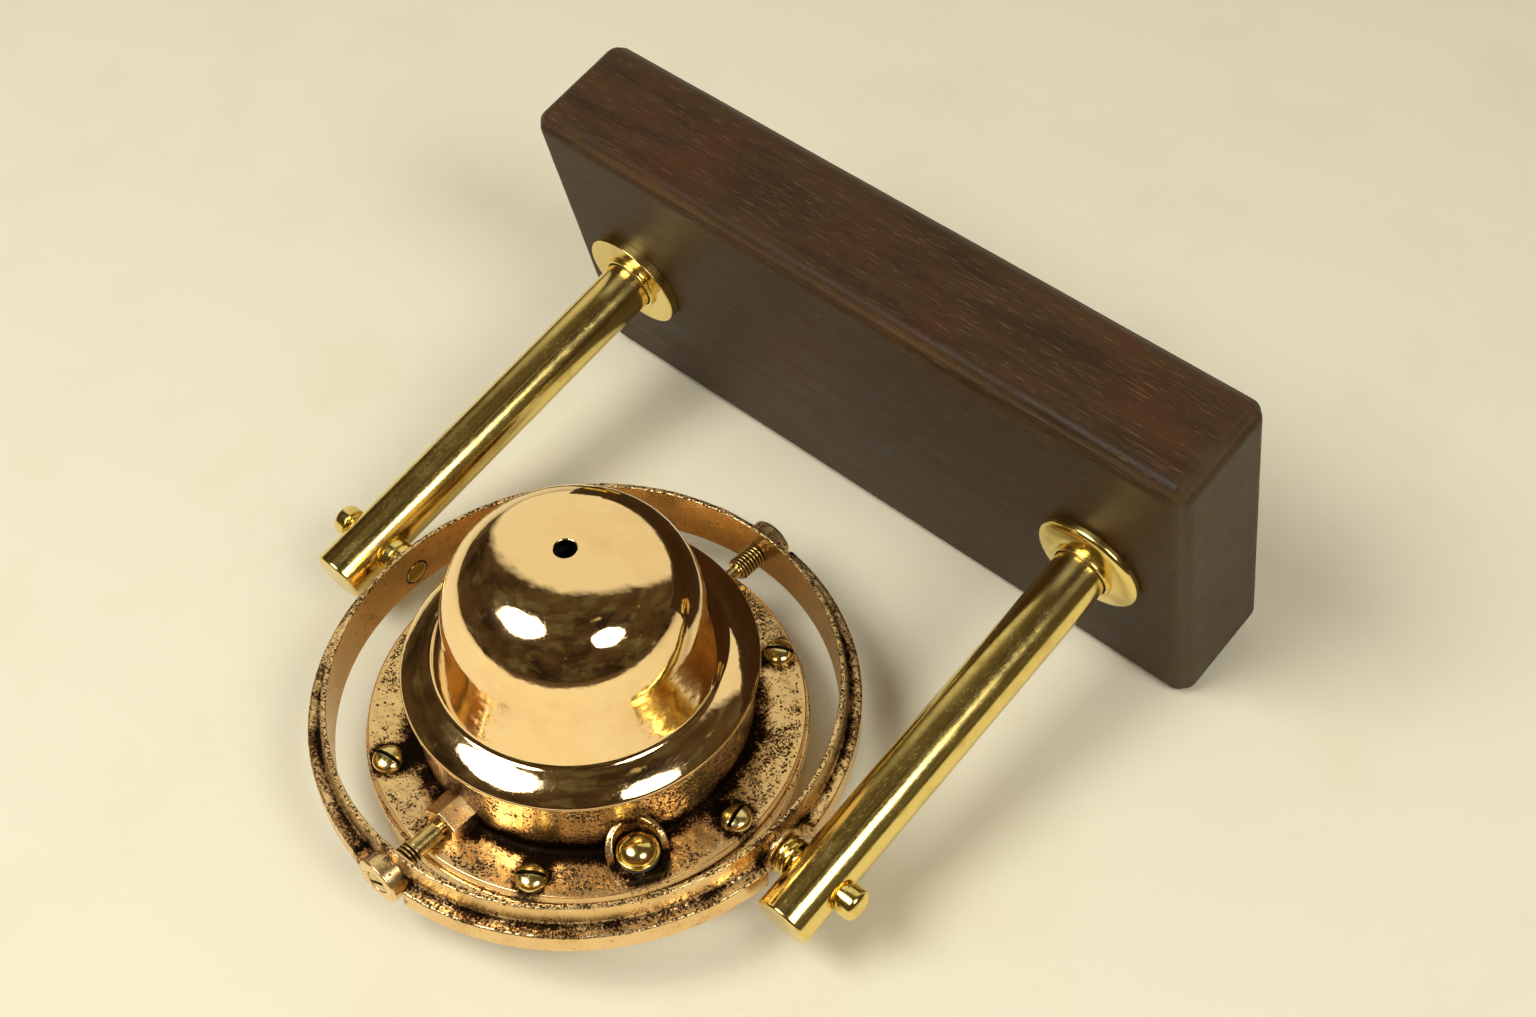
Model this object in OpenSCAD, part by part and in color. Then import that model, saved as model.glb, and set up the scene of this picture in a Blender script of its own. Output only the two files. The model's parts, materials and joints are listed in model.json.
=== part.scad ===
// Liquid magnetic compass, hung in a gimbal ring between two brass posts on a hardwood base.
// It lies on its side, as when it is put down: the bowl is face down on its bezel, and the
// base stands on one long edge and leans towards the bowl.
// +Z is up from the surface that it lies on, X runs along the base, -Y from the base to the bowl.
// The origin is on that surface, below the middle of the whole object.

/* [Base] */
// Length of the hardwood base
base_length = 200; // [190:1:260]
// Width of the base, which stands upright here
base_width = 95.6; // [86:0.2:110]
// Thickness of the base
base_thickness = 32.8; // [26:0.2:45]
// Radius of the rounded edges of the base
base_edge_radius = 4.5; // [2:0.5:7]

/* [Posts] */
// Radius of a post
post_radius = 7; // [6:0.25:8]
// Distance from the base to the gimbal's centre
post_reach = 100.4; // [88:0.2:130]
// Length of a post beyond the gimbal's centre line
post_overhang = 13.5; // [10:0.5:20]
// How far the pair of posts stands left of the ring's middle
post_shift = 1.2; // [0:0.1:2]
// How far the posts stand below the middle of the base's width
post_drop = 1.6; // [-2:0.1:3]
// Bevel at a post's end
post_bevel = 0.8; // [0.3:0.1:1.5]
// Radius of a rosette
rosette_radius = 14.3; // [11:0.1:16]
// Thickness of the left, flat rosette
flat_rosette_thickness = 2.6; // [2:0.1:4]
// Thickness of the right, domed rosette at its middle
domed_rosette_thickness = 3.8; // [3:0.1:5]
// Radius of the raised collar on the flat rosette
rosette_collar_radius = 8.8; // [8.4:0.1:10]
// Height of that collar
rosette_collar_height = 1; // [0.5:0.1:2]

/* [Post screws] */
// Radius of the screw that holds a post
post_screw_radius = 2.9; // [2:0.1:3.5]
// Length of that screw inside the post
post_screw_grip = 14; // [8:1:20]
// Radius of its head
post_screw_head_radius = 5; // [4.5:0.1:6]
// Height of its head
post_screw_head_height = 4.5; // [3:0.1:6]
// Radius of the counterbore in the base
counterbore_radius = 7.4; // [7:0.1:9]
// Depth of the counterbore
counterbore_depth = 9; // [7:0.5:14]
// Thickness of the washer under the head
post_washer_thickness = 1.2; // [0.8:0.1:2]

/* [Gimbal ring] */
// Free space between the bowl's flange and the ring
gimbal_gap = 7.1; // [5:0.1:12]
// Thickness of the ring's wall
ring_wall = 1.3; // [1:0.1:3]
// Height of the wall above the pivots
ring_rise = 8.6; // [7:0.1:12]
// Height of the wall below the pivots
ring_drop = 5.2; // [5:0.1:9]
// Width of the rib round the ring
rib_width = 4; // [2.5:0.1:6]
// Thickness of the rib
rib_thickness = 5.7; // [4:0.1:7]
// Radius of the hollow corner between wall and rib
rib_fillet = 1.6; // [0.4:0.1:1.8]
// Radius of the round bosses on the ring
boss_radius = 6; // [5:0.1:7]
// How far the bosses of the long axis stand out from the wall
side_boss_reach = 1.6; // [1:0.1:3]
// How far the bosses of the cross axis stand out from the wall
end_boss_reach = 4.8; // [3:0.1:6]
// Space between a boss and the cut end of the rib
rib_notch_gap = 1; // [0.5:0.1:2]

/* [Pivots] */
// Radius of the plain pivot pins in the posts
pin_radius = 3; // [2.5:0.1:3.5]
// Radius of a pin's domed head
pin_head_radius = 4; // [3.8:0.1:5]
// Length of that head
pin_head_length = 5.4; // [4:0.1:8]
// Mean length of the two collars between ring and posts
collar_length = 4.35; // [3.5:0.05:8]
// Radius of that collar
collar_radius = 4.8; // [4.2:0.1:5.6]
// Thread radius of the pivot screws in the ring
screw_thread_radius = 3; // [2.6:0.1:3.4]
// Thread pitch of the pivot screws
screw_pitch = 1; // [0.8:0.1:1.3]
// Radius of a pivot screw's plain tip
screw_tip_radius = 2; // [1.6:0.1:2.1]
// How deep the plain tip sits in the bowl's lug
screw_tip_grip = 4.5; // [3:0.1:6]
// Radial clearance of everything that turns
running_clearance = 0.05; // [0.02:0.01:0.1]

/* [Bowl] */
// Radius of the bowl's flange
bowl_radius = 53.2; // [53:0.1:60]
// Height of the pivots above the flange's face
flange_drop = 2.3; // [2.3:0.1:4]
// Thickness of the bottom casting's flange
flange_thickness = 2.6; // [2:0.1:4]
// How far that flange stays inside the bowl's own flange
flange_inset = 0.8; // [0.3:0.1:1.5]
// Thickness of the gasket between the flanges
gasket_thickness = 0.5; // [0.3:0.1:1]
// Height of the bowl's body
body_height = 12.6; // [11:0.1:20]
// Thickness of the bowl's own flange
body_flange_thickness = 3; // [2.5:0.1:4]
// Inner radius of the bowl's body
body_inner_radius = 44; // [43:0.1:45]
// Thickness of the bowl's wall
body_wall = 2.5; // [2:0.1:3]
// Thickness of the bezel
bezel_thickness = 4; // [3.5:0.1:6]
// Radius of the opening in the bezel
bezel_opening_radius = 42.5; // [40:0.1:43]
// Thickness of the glass
glass_thickness = 3; // [2:0.1:4]

/* [Bottom casting] */
// Outer radius of the drawn-in wall above the flange
collar_wall_radius = 40; // [39.5:0.1:40.5]
// Height of that wall above the flange
collar_wall_height = 17.4; // [16:0.1:22]
// Inner radius of the casting
casting_bore = 34; // [33:0.1:35]
// Radius of the round lugs that take the pivot screws
lug_radius = 5.2; // [4.5:0.1:6]
// Distance from the bowl's axis to a lug's face
lug_reach = 47; // [46:0.1:48.5]

/* [Bell] */
// Radius of the bell's lip
lip_radius = 41.9; // [41.5:0.1:43]
// Radius of the dome, where its sides would stand upright
dome_radius = 31; // [29:0.1:32]
// Height of the dome above that place
dome_height = 36; // [32:0.1:40]
// Squareness of the dome, 2 is an ellipse
dome_squareness = 3.2; // [2.4:0.1:3.6]
// Radius of the slack hollow below the dome
waist_radius = 48; // [30:1:60]
// Radius of the tight hollow above the skirt
neck_radius = 1.2; // [0.8:0.1:3]
// Thickness of the bell
bell_wall = 2; // [1.5:0.1:3]
// Radius of the vent hole in the bell
vent_radius = 2.6; // [1:0.1:3]

/* [Screws] */
// Number of screws round the flange, and round the bezel
flange_screw_count = 6; // [6:2:12]
// Radius of the circle of flange screws
flange_screw_circle = 48.2; // [47.8:0.1:48.6]
// Shank radius of the flange screws
flange_screw_radius = 1.75; // [1.5:0.05:2]
// Head radius of the flange screws
flange_screw_head_radius = 3.8; // [3:0.1:4]
// Head height of the flange screws
flange_screw_head_height = 2.7; // [1.8:0.1:2.8]
// Width of a screwdriver slot
slot_width = 1; // [0.6:0.1:1.4]
// Radius of the circle of bezel screws
bezel_screw_circle = 48.4; // [48.2:0.1:48.6]
// Shank radius of the bezel screws
bezel_screw_radius = 1.5; // [1.2:0.05:1.7]
// Head radius of the bezel screws
bezel_screw_head_radius = 2.7; // [2.4:0.1:2.9]

/* [Filler plug] */
// Angle of the filler plug round the bowl
plug_angle = -30; // [-34:1:-26]
// Tilt of the plug out from the bowl's axis
plug_tilt = 0; // [0:1:12]
// Radius of the plug's collar
plug_collar_radius = 5.1; // [4:0.1:5.3]
// Thickness of that collar
plug_collar_thickness = 1.6; // [1:0.1:2.5]
// Radius of the plug's domed head
plug_head_radius = 4.5; // [3.6:0.1:4.6]
// Height of that head
plug_head_height = 3; // [2:0.1:3.6]
// Radius of the plug's thread
plug_thread_radius = 2; // [1.5:0.1:2.1]
// Thickness of the washer under the plug
plug_washer_thickness = 0.6; // [0.4:0.1:1]

/* [Card] */
// Radius of the compass card
card_radius = 40; // [37:0.1:41]
// Thickness of the card
card_thickness = 0.5; // [0.3:0.1:1]
// Space between card and glass
card_gap = 2.4; // [1.5:0.1:3]
// Radius of the float
float_radius = 14.5; // [12:0.1:15.5]
// Height of the float
float_height = 7.5; // [6:0.1:8]
// Radius of a magnet rod
magnet_radius = 1.2; // [0.8:0.1:1.5]
// Distance of the inner magnets from the middle
magnet_offset = 19; // [18:0.5:21]
// Distance from an inner to an outer magnet
magnet_step = 8; // [5:0.5:9]
// Length of an inner magnet
magnet_length = 50; // [40:1:54]
// Radius of the needle that carries the card
needle_radius = 1.5; // [1:0.1:1.8]

/* [Hidden] */
$fn = 96;

// Gimbal ring
ring_inner = bowl_radius + gimbal_gap;
ring_outer = ring_inner + ring_wall;
rib_outer = ring_outer + rib_width;
rib_top = rib_thickness / 2;
rib_bottom = rib_top - rib_thickness;
rib_edge = min(0.6, rib_thickness / 5);
notch_half = boss_radius + rib_notch_gap;
notch_start = ring_outer + 0.4;
side_boss_face = ring_outer + side_boss_reach;
end_boss_face = ring_outer + end_boss_reach;
boss_floor = -ring_drop + 0.4;

// Pivots
face_gap = 0.1;
collar_start = side_boss_face + 0.25;
pin_bore = pin_radius + running_clearance;
screw_bore = screw_thread_radius + running_clearance;
tip_bore = screw_tip_radius + running_clearance;
thread_depth = screw_pitch * 0.54;
thread_start = bowl_radius - 0.2;
thread_count = floor((end_boss_face - thread_start - 0.2) / screw_pitch);
thread_end = end_boss_face - 0.2;

// Bowl, measured from the height of the pivots
flange_top = -flange_drop;
flange_bottom = flange_top - flange_thickness;
flange_radius = bowl_radius - flange_inset;
body_top = flange_bottom - gasket_thickness;
body_bottom = body_top - body_height;
bezel_bottom = body_bottom - bezel_thickness;
bowl_depth = -bezel_bottom;
body_outer_radius = body_inner_radius + body_wall;
bezel_radius = bowl_radius - 1.1;
glass_radius = body_inner_radius + 2.1;
glass_inner_face = body_bottom + glass_thickness;
glass_gasket_thickness = 0.6;
glass_seat = glass_inner_face + glass_gasket_thickness;
lower_flange_top = glass_seat + 1.8;
shoulder_z = flange_top + collar_wall_height;
spigot_radius = collar_wall_radius - 1.5;
spigot_height = 3;
diaphragm_pocket = spigot_radius - 1.7;
diaphragm_seat = shoulder_z - 3;
diaphragm_radius = diaphragm_pocket - 0.2;
diaphragm_thickness = 0.4;
ledge_radius = casting_bore - 4;
ledge_top = 1.5;
ledge_thickness = 2;

// Bell. Each slope is how many degrees the surface looks up where one curve meets the next.
bell_bore = spigot_radius + running_clearance;
lip_z = shoulder_z + 1.6;
lip_round = 1.2;
lip_slope = 46.6;
neck_slope = 69.9;
waist_slope = 18.5;
dome_slope = 5.5;
dome_power = 2 / dome_squareness;
dome_start = atan(pow(tan(dome_slope) * dome_height / dome_radius, 1 / (2 - dome_power)));
waist_top = dome_radius * pow(cos(dome_start), dome_power);
waist_foot = waist_top + waist_radius * (cos(dome_slope) - cos(waist_slope));
skirt_top = waist_foot + neck_radius * (cos(waist_slope) - cos(neck_slope));
skirt_foot = lip_radius - lip_round * (1 - cos(lip_slope));
skirt_radius = (skirt_foot - skirt_top) / (cos(lip_slope) - cos(neck_slope));
skirt_foot_z = lip_z + lip_round * sin(lip_slope);
skirt_top_z = skirt_foot_z + skirt_radius * (sin(neck_slope) - sin(lip_slope));
waist_foot_z = skirt_top_z + neck_radius * (sin(neck_slope) - sin(waist_slope));
waist_top_z = waist_foot_z + waist_radius * (sin(waist_slope) - sin(dome_slope));
dome_base = waist_top_z - dome_height * pow(sin(dome_start), dome_power);
bell_top = dome_base + dome_height;

// Base and posts in their own frame: the base's face is y = 0, its lower edge z = 0
post_z = base_width / 2 - post_drop;
post_length = post_reach + post_overhang;
post_bore = post_radius + running_clearance;
post_screw_hole = post_screw_radius + 0.4;
post_screw_seat = base_thickness - counterbore_depth;
edge_y = post_reach + base_edge_radius;
edge_z = post_z - base_edge_radius;
lean = atan2(edge_z, edge_y)
    - asin((bowl_depth - base_edge_radius) / norm([edge_y, edge_z]));
far_edge_y = post_reach + base_thickness - base_edge_radius;
object_back = far_edge_y * cos(lean) + edge_z * sin(lean) + base_edge_radius;
object_front = -max(end_boss_face, rib_outer);
gimbal_y = -(object_back + object_front) / 2;
gimbal_centre = [0, gimbal_y, bowl_depth];

// Card, measured from the height of the pivots
card_face = glass_inner_face + card_gap;
card_back = card_face + card_thickness;
float_top = card_back + float_height;
cup_radius = needle_radius + 0.7;
cup_top = card_back + 3.5;
cup_apex = card_back + 1.3;
needle_tip = cup_apex + 0.2;
needle_end = ledge_top + 3.5;
bridge_thickness = 1.5 * needle_radius;
bridge_width = 6 * needle_radius;
bridge_hub_radius = needle_radius + 2.5;
bridge_hub_drop = 2 * needle_radius;
bridge_screw_radius = needle_radius / 1.5;
bridge_length = 2 * (casting_bore - 0.2);
bridge_screw_x = casting_bore - 2;

// Filler plug
plug_seat_radius = 45.2;
plug_seat_z = flange_top + 2.6;
spot_face_radius = plug_collar_radius + 0.5;
plug_boss_radius = spot_face_radius + 1.6;
plug_boss_rise = 6.5;
plug_end_gap = 0.4;
plug_thread_length = (plug_seat_z - flange_bottom - plug_end_gap) / cos(plug_tilt)
    - plug_thread_radius * tan(plug_tilt);

// Angles of the screwdriver slots, as the screws were left
slot_turns = [12, 62, 28, 75, 40, 5];

// Length of the collar on one side, and distance of that side's post from the ring's middle
function collar_span(side) = collar_length - side * post_shift;
function post_x(side) = collar_start + collar_span(side) + face_gap + post_radius;

// Points on a round arc, from one angle to another
function arc(centre, radius, from, to, steps) = [
    for (i = [0 : steps])
        let (a = from + (to - from) * i / steps)
            centre + radius * [cos(a), sin(a)]
];

// Points after the first one on an arc that starts at a point and runs from one slope of the surface to
// another. A radius below zero bends it the other way.
function slope_arc(start, radius, from, to, steps) = [
    for (i = [1 : steps])
        let (a = from + (to - from) * i / steps)
            start + radius * [cos(a) - cos(from), sin(a) - sin(from)]
];

// Points on the dome's outline, from its foot up to where it meets the vent's radius
function dome(radius, height, base, from, inner) = [
    for (i = [0 : 16])
        let (
            a = from + (90 - from) * i / 16,
            r = radius * pow(max(cos(a), 0), dome_power)
        )
            if (r > inner) [r, base + height * pow(sin(a), dome_power)]
];

// Places a child from the frame of the pivots into the object's frame
module at_gimbal() {
    translate(gimbal_centre) children();
}

// Places a child from the base's own frame into the object's frame
module on_base() {
    translate(gimbal_centre)
        rotate([lean, 0, 0])
            translate([0, post_reach, -post_z])
                children();
}

// Stands a child, made along +Z, out from the base's face at one post
module along_post(side) {
    on_base()
        translate([side * post_x(side), 0, post_z])
            rotate([90, 0, 0])
                children();
}

// Turns a child, made along +Z, to point out along X on one side of the gimbal
module along_x(side) {
    rotate([0, side * 90, 0]) children();
}

// Turns a child, made along +Z, to point out along Y on one side of the gimbal
module along_y(side) {
    rotate([-side * 90, 0, 0]) children();
}

// A box with its middle at the origin in X and Y, from one height to another
module slab(width, depth, low, high) {
    translate([-width / 2, -depth / 2, low]) cube([width, depth, high - low]);
}

// A round bar between two heights
module bar(radius, low, high) {
    translate([0, 0, low]) cylinder(r = radius, h = high - low);
}

// A flat ring between two heights
module hoop(inner, outer, low, high) {
    translate([0, 0, low])
        rotate_extrude()
            translate([inner, 0])
                square([outer - inner, high - low]);
}

// A low dome of the given radius and height, standing on z = 0
module cap(radius, height) {
    ball = (radius * radius + height * height) / (2 * height);
    intersection() {
        translate([0, 0, height - ball]) sphere(r = ball);
        bar(radius, 0, height + 1);
    }
}

// Repeats a child round the bowl's axis
module round_bowl(count, circle, first) {
    for (i = [0 : count - 1])
        rotate([0, 0, first + i * 360 / count])
            translate([circle, 0, 0])
                children();
}

// A prism along Z with rounded corners, centred in X and Y
module rounded_prism(width, depth, height, radius, steps) {
    outline = [
        for (corner = [0 : 3])
            let (
                sx = (corner == 0 || corner == 3) ? 1 : -1,
                sy = corner < 2 ? 1 : -1
            )
                each arc(
                    [sx * (width / 2 - radius), sy * (depth / 2 - radius)],
                    radius, corner * 90, corner * 90 + 90, steps
                )
    ];
    translate([0, 0, -height / 2]) linear_extrude(height = height) polygon(outline);
}

// Hardwood block, rounded on every edge, with stepped holes for the post screws
module base_block() {
    radius = base_edge_radius;
    color("#3a2a22") on_base() difference() {
        translate([0, base_thickness / 2, base_width / 2]) intersection() {
            rounded_prism(base_length, base_thickness, base_width, radius, 6);
            rotate([90, 0, 0])
                rounded_prism(base_length, base_width, base_thickness, radius, 6);
            rotate([90, 0, 90])
                rounded_prism(base_thickness, base_width, base_length, radius, 10);
        }
        for (side = [-1, 1])
            translate([side * post_x(side), 0, post_z]) rotate([-90, 0, 0]) {
                bar(post_screw_hole, -1, base_thickness + 1);
                bar(counterbore_radius, post_screw_seat, base_thickness + 1);
            }
    }
}

// Brass post, tapped at its foot and cross-drilled for the pivot pin
module post(side) {
    color("#d8b64a") along_post(side) difference() {
        rotate_extrude() polygon([
            [0, 0], [post_radius, 0], [post_radius, post_length - post_bevel],
            [post_radius - post_bevel, post_length], [0, post_length]
        ]);
        bar(post_screw_radius + running_clearance, -1, post_screw_grip + 2);
        translate([0, 0, post_reach]) rotate([0, 90, 0])
            bar(pin_bore, -post_radius - 1, post_radius + 1);
    }
}

// Flat rosette with a raised collar, at the left post
module rosette_left() {
    edge = 0.4;
    step = flat_rosette_thickness;
    top = step + rosette_collar_height;
    color("#d8b64a") along_post(-1) rotate_extrude() polygon([
        [post_bore, 0], [rosette_radius, 0], [rosette_radius, step - edge],
        [rosette_radius - edge, step], [rosette_collar_radius + 0.6, step],
        [rosette_collar_radius, step + 0.4], [rosette_collar_radius, top - 0.3],
        [rosette_collar_radius - 0.3, top], [post_bore, top]
    ]);
}

// Domed rosette, at the right post
module rosette_right() {
    rim = domed_rosette_thickness * 0.45;
    span = rosette_radius - post_bore - 1;
    color("#d8b64a") along_post(1) rotate_extrude() polygon(concat(
        [[post_bore, 0], [rosette_radius, 0]],
        [for (i = [0 : 8])
            let (a = 90 * i / 8)
                [post_bore + 1 + span * cos(a), rim + (domed_rosette_thickness - rim) * sin(a)]],
        [[post_bore, domed_rosette_thickness]]
    ));
}

// The two screws that hold the posts, put in from the base's underside
module post_screws() {
    seat = post_screw_seat + post_washer_thickness;
    head_end = seat + post_screw_head_height;
    color("#b8bcc0") on_base() for (side = [-1, 1])
        translate([side * post_x(side), 0, post_z]) rotate([-90, 0, 0]) difference() {
            union() {
                bar(post_screw_radius, -post_screw_grip, seat + 0.1);
                bar(post_screw_head_radius, seat, head_end);
            }
            slab(slot_width * 1.4, 3 * post_screw_head_radius, head_end - 1.6, head_end + 1);
        }
}

// The washers under those screws' heads
module post_washers() {
    color("#b8bcc0") on_base() for (side = [-1, 1])
        translate([side * post_x(side), 0, post_z]) rotate([-90, 0, 0])
            hoop(
                post_screw_hole, counterbore_radius - 0.4,
                post_screw_seat, post_screw_seat + post_washer_thickness
            );
}

// Pivot pin with a domed head outside the post, flush inside the ring's wall
module pivot_pin(side) {
    outside = post_x(side) + post_radius + face_gap;
    neck_end = outside + 0.7;
    dome_start = outside + pin_head_length - 2;
    color("#d8b64a") at_gimbal() along_x(side) {
        bar(pin_radius, ring_inner, neck_end + 0.1);
        hoop(pin_radius - 0.1, pin_radius + 0.4, outside, neck_end);
        bar(pin_head_radius, neck_end, dome_start);
        translate([0, 0, dome_start]) cap(pin_head_radius, 2);
    }
}

// The grooved collars on the pins, between ring and posts
module pivot_collars() {
    color("#d0a848") at_gimbal() for (side = [-1, 1])
        along_x(side) translate([0, 0, collar_start]) grooved_collar(collar_span(side));
}

// One collar, standing on z = 0
module grooved_collar(length) {
    middle = length / 2;
    groove = 0.2;
    bevel = 0.3;
    floor = collar_radius - 0.7;
    rotate_extrude() polygon([
        [pin_bore, 0], [collar_radius - bevel, 0], [collar_radius, bevel],
        [collar_radius, middle - groove - bevel], [floor, middle - groove],
        [floor, middle + groove], [collar_radius, middle + groove + bevel],
        [collar_radius, length - bevel], [collar_radius - bevel, length], [pin_bore, length]
    ]);
}

// Cast ring: a thin wall with a rib round it, cut away at four bosses
module gimbal_ring() {
    fillet_top = rib_top + rib_fillet;
    fillet_bottom = rib_bottom - min(rib_fillet, ring_drop + rib_bottom - 0.2);
    foot = rib_bottom - fillet_bottom;
    outline = concat(
        [[ring_inner, -ring_drop], [ring_outer, -ring_drop]],
        arc([ring_outer + foot, fillet_bottom], foot, 180, 90, 5),
        [[rib_outer - rib_edge, rib_bottom]],
        [[rib_outer, rib_bottom + rib_edge], [rib_outer, rib_top - rib_edge]],
        [[rib_outer - rib_edge, rib_top]],
        arc([ring_outer + rib_fillet, fillet_top], rib_fillet, 270, 180, 6),
        [[ring_outer, ring_rise], [ring_inner, ring_rise]]
    );
    color("#b5714e") at_gimbal() difference() {
        union() {
            difference() {
                rotate_extrude() polygon(outline);
                for (turn = [0 : 90 : 270]) rotate([0, 0, turn])
                    translate([notch_start, -notch_half, -ring_drop - 1])
                        cube([rib_width + 2, 2 * notch_half, ring_drop + ring_rise + 2]);
            }
            for (side = [-1, 1]) {
                ring_boss(side_boss_face) along_x(side) boss_bar(side_boss_face);
                ring_boss(end_boss_face) along_y(side) boss_bar(end_boss_face);
            }
        }
        for (side = [-1, 1]) {
            along_x(side) bar(pin_bore, ring_inner - 2, side_boss_face + 1);
            along_y(side) bar(screw_bore, ring_inner - 2, end_boss_face + 1);
        }
    }
}

// A boss keeps clear of the lower edge of the ring's wall
module ring_boss(face) {
    intersection() {
        children();
        slab(2 * face + 2, 2 * face + 2, boss_floor, ring_rise - 0.4);
    }
}

// The round bar that a boss is made from
module boss_bar(face) {
    bar(boss_radius, ring_inner + ring_wall * 0.3, face);
}

// Pivot screw: threaded through the ring, with a plain tip in the bowl's lug
module pivot_screw(side) {
    root = screw_thread_radius - thread_depth;
    tip_end = lug_reach - screw_tip_grip;
    threads = [
        for (i = [0 : thread_count - 1])
            let (z = thread_start + 0.2 + i * screw_pitch)
                each [[root, z], [screw_thread_radius, z + screw_pitch / 2]]
    ];
    color("#b89a4c") at_gimbal() along_y(side) difference() {
        rotate_extrude() polygon(concat(
            [[0, tip_end], [screw_tip_radius - 0.4, tip_end], [screw_tip_radius, tip_end + 0.4]],
            [[screw_tip_radius, thread_start]],
            threads,
            [[root, thread_end], [0, thread_end]]
        ));
        translate([0, 0, thread_end])
            rotate([0, 0, 35])
                slab(slot_width, 3 * screw_thread_radius, -1.4, 1);
    }
}

// Polished bell that covers the bottom of the bowl
module bell_cover() {
    inner_radius = dome_radius - bell_wall;
    inner_height = dome_height - bell_wall;
    outside = concat(
        [[collar_wall_radius + 0.3, shoulder_z]],
        arc([lip_radius - lip_round, lip_z], lip_round, 0, lip_slope, 4),
        slope_arc([skirt_foot, skirt_foot_z], skirt_radius, lip_slope, neck_slope, 8),
        slope_arc([skirt_top, skirt_top_z], -neck_radius, neck_slope, waist_slope, 6),
        slope_arc([waist_foot, waist_foot_z], -waist_radius, waist_slope, dome_slope * 1.5, 7),
        dome(dome_radius, dome_height, dome_base, dome_start, vent_radius),
        [[vent_radius, bell_top]]
    );
    inside = concat(
        [[vent_radius, bell_top - bell_wall]],
        dome(inner_radius, inner_height, dome_base, dome_start, vent_radius)
    );
    n = len(inside);
    color("#d9a35c") at_gimbal() rotate_extrude() polygon(concat(
        outside,
        [inside[0]],
        [for (i = [n - 1 : -1 : 1]) inside[i]],
        [[waist_foot - bell_wall, waist_foot_z], [waist_foot - bell_wall, skirt_foot_z + 2]],
        [[bell_bore, shoulder_z + spigot_height + 0.3]],
        [[bell_bore, shoulder_z]]
    ));
}

// Lead ring cast into the top of the bell, so that the bowl hangs face up in use
module ballast_weight() {
    inner_radius = dome_radius - bell_wall - 0.15;
    inner_height = dome_height - bell_wall - 0.15;
    hole = vent_radius + 2;
    color("#6f7276") at_gimbal() rotate_extrude() polygon(concat(
        [[hole, dome_base + inner_height * 0.5]],
        dome(inner_radius, inner_height, dome_base, 28, hole),
        [[hole, dome_base + inner_height]]
    ));
}

// Corrugated metal disc that gives way as the liquid swells
module diaphragm() {
    flat = diaphragm_radius - 4.5;
    wave = [for (i = [0 : 20]) [flat * i / 20, 0.8 * sin(i * 90)]];
    low = diaphragm_seat;
    high = diaphragm_seat + diaphragm_thickness;
    color("#c9924f") at_gimbal() rotate_extrude() polygon(concat(
        [for (p = wave) [p[0], low + p[1]]],
        [[diaphragm_radius, low], [diaphragm_radius, high]],
        [for (i = [20 : -1 : 0]) [wave[i][0], high + wave[i][1]]]
    ));
}

// Ring that clamps the diaphragm on its seat
module diaphragm_ring() {
    low = diaphragm_seat + diaphragm_thickness;
    color("#b98f45") at_gimbal()
        hoop(diaphragm_radius - 3.6, diaphragm_radius, low, low + 1.6);
}

// Casting with the flange, the drawn-in wall, two pivot lugs and the filler boss
module bottom_casting() {
    fillet = 1.4;
    edge = 0.5;
    ledge_bottom = ledge_top - ledge_thickness;
    outline = concat(
        [[casting_bore, flange_bottom], [flange_radius, flange_bottom]],
        [[flange_radius, flange_top - edge], [flange_radius - edge, flange_top]],
        arc([collar_wall_radius + fillet, flange_top + fillet], fillet, 270, 180, 5),
        [[collar_wall_radius, shoulder_z], [spigot_radius, shoulder_z]],
        [[spigot_radius, shoulder_z + spigot_height]],
        [[diaphragm_pocket, shoulder_z + spigot_height], [diaphragm_pocket, diaphragm_seat]],
        [[casting_bore, diaphragm_seat], [casting_bore, ledge_top]],
        [[ledge_radius, ledge_top], [ledge_radius, ledge_bottom], [casting_bore, ledge_bottom]]
    );
    color("#a8684a") at_gimbal() difference() {
        union() {
            rotate_extrude() polygon(outline);
            intersection() {
                for (side = [-1, 1])
                    along_y(side) bar(lug_radius, collar_wall_radius - 2, lug_reach);
                slab(2 * bowl_radius, 2 * bowl_radius, flange_top - 0.4, lug_radius + 1);
            }
            plug_boss();
        }
        round_bowl(flange_screw_count, flange_screw_circle, 0)
            bar(flange_screw_radius + 0.1, flange_bottom - 1, flange_top + 1);
        for (side = [-1, 1])
            along_y(side) bar(tip_bore, lug_reach - screw_tip_grip - 0.5, lug_reach + 1);
        at_plug() {
            bar(spot_face_radius, 0, plug_boss_rise + 6);
            bar(plug_thread_radius + running_clearance, -plug_thread_length - 4, 1);
        }
        for (side = [-1, 1])
            translate([side * bridge_screw_x, 0, 0])
                bar(bridge_screw_radius + 0.05, ledge_top - 1.6, ledge_top + 1);
    }
}

// Places a child on the filler plug's seat, with +Z along the plug
module at_plug() {
    rotate([0, 0, plug_angle])
        translate([plug_seat_radius, 0, plug_seat_z])
            rotate([0, plug_tilt, 0])
                children();
}

// Pad for the plug, with a wall behind it that joins the casting
module plug_boss() {
    intersection() {
        at_plug() difference() {
            bar(plug_boss_radius, -4, plug_boss_rise);
            translate([1, -plug_boss_radius - 1, 0])
                cube([plug_boss_radius, 2 * plug_boss_radius + 2, plug_boss_rise + 1]);
        }
        difference() {
            bar(flange_radius - 1, flange_top - 0.5, shoulder_z - 2);
            bar(collar_wall_radius - 1, flange_top - 1, shoulder_z);
        }
    }
}

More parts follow.
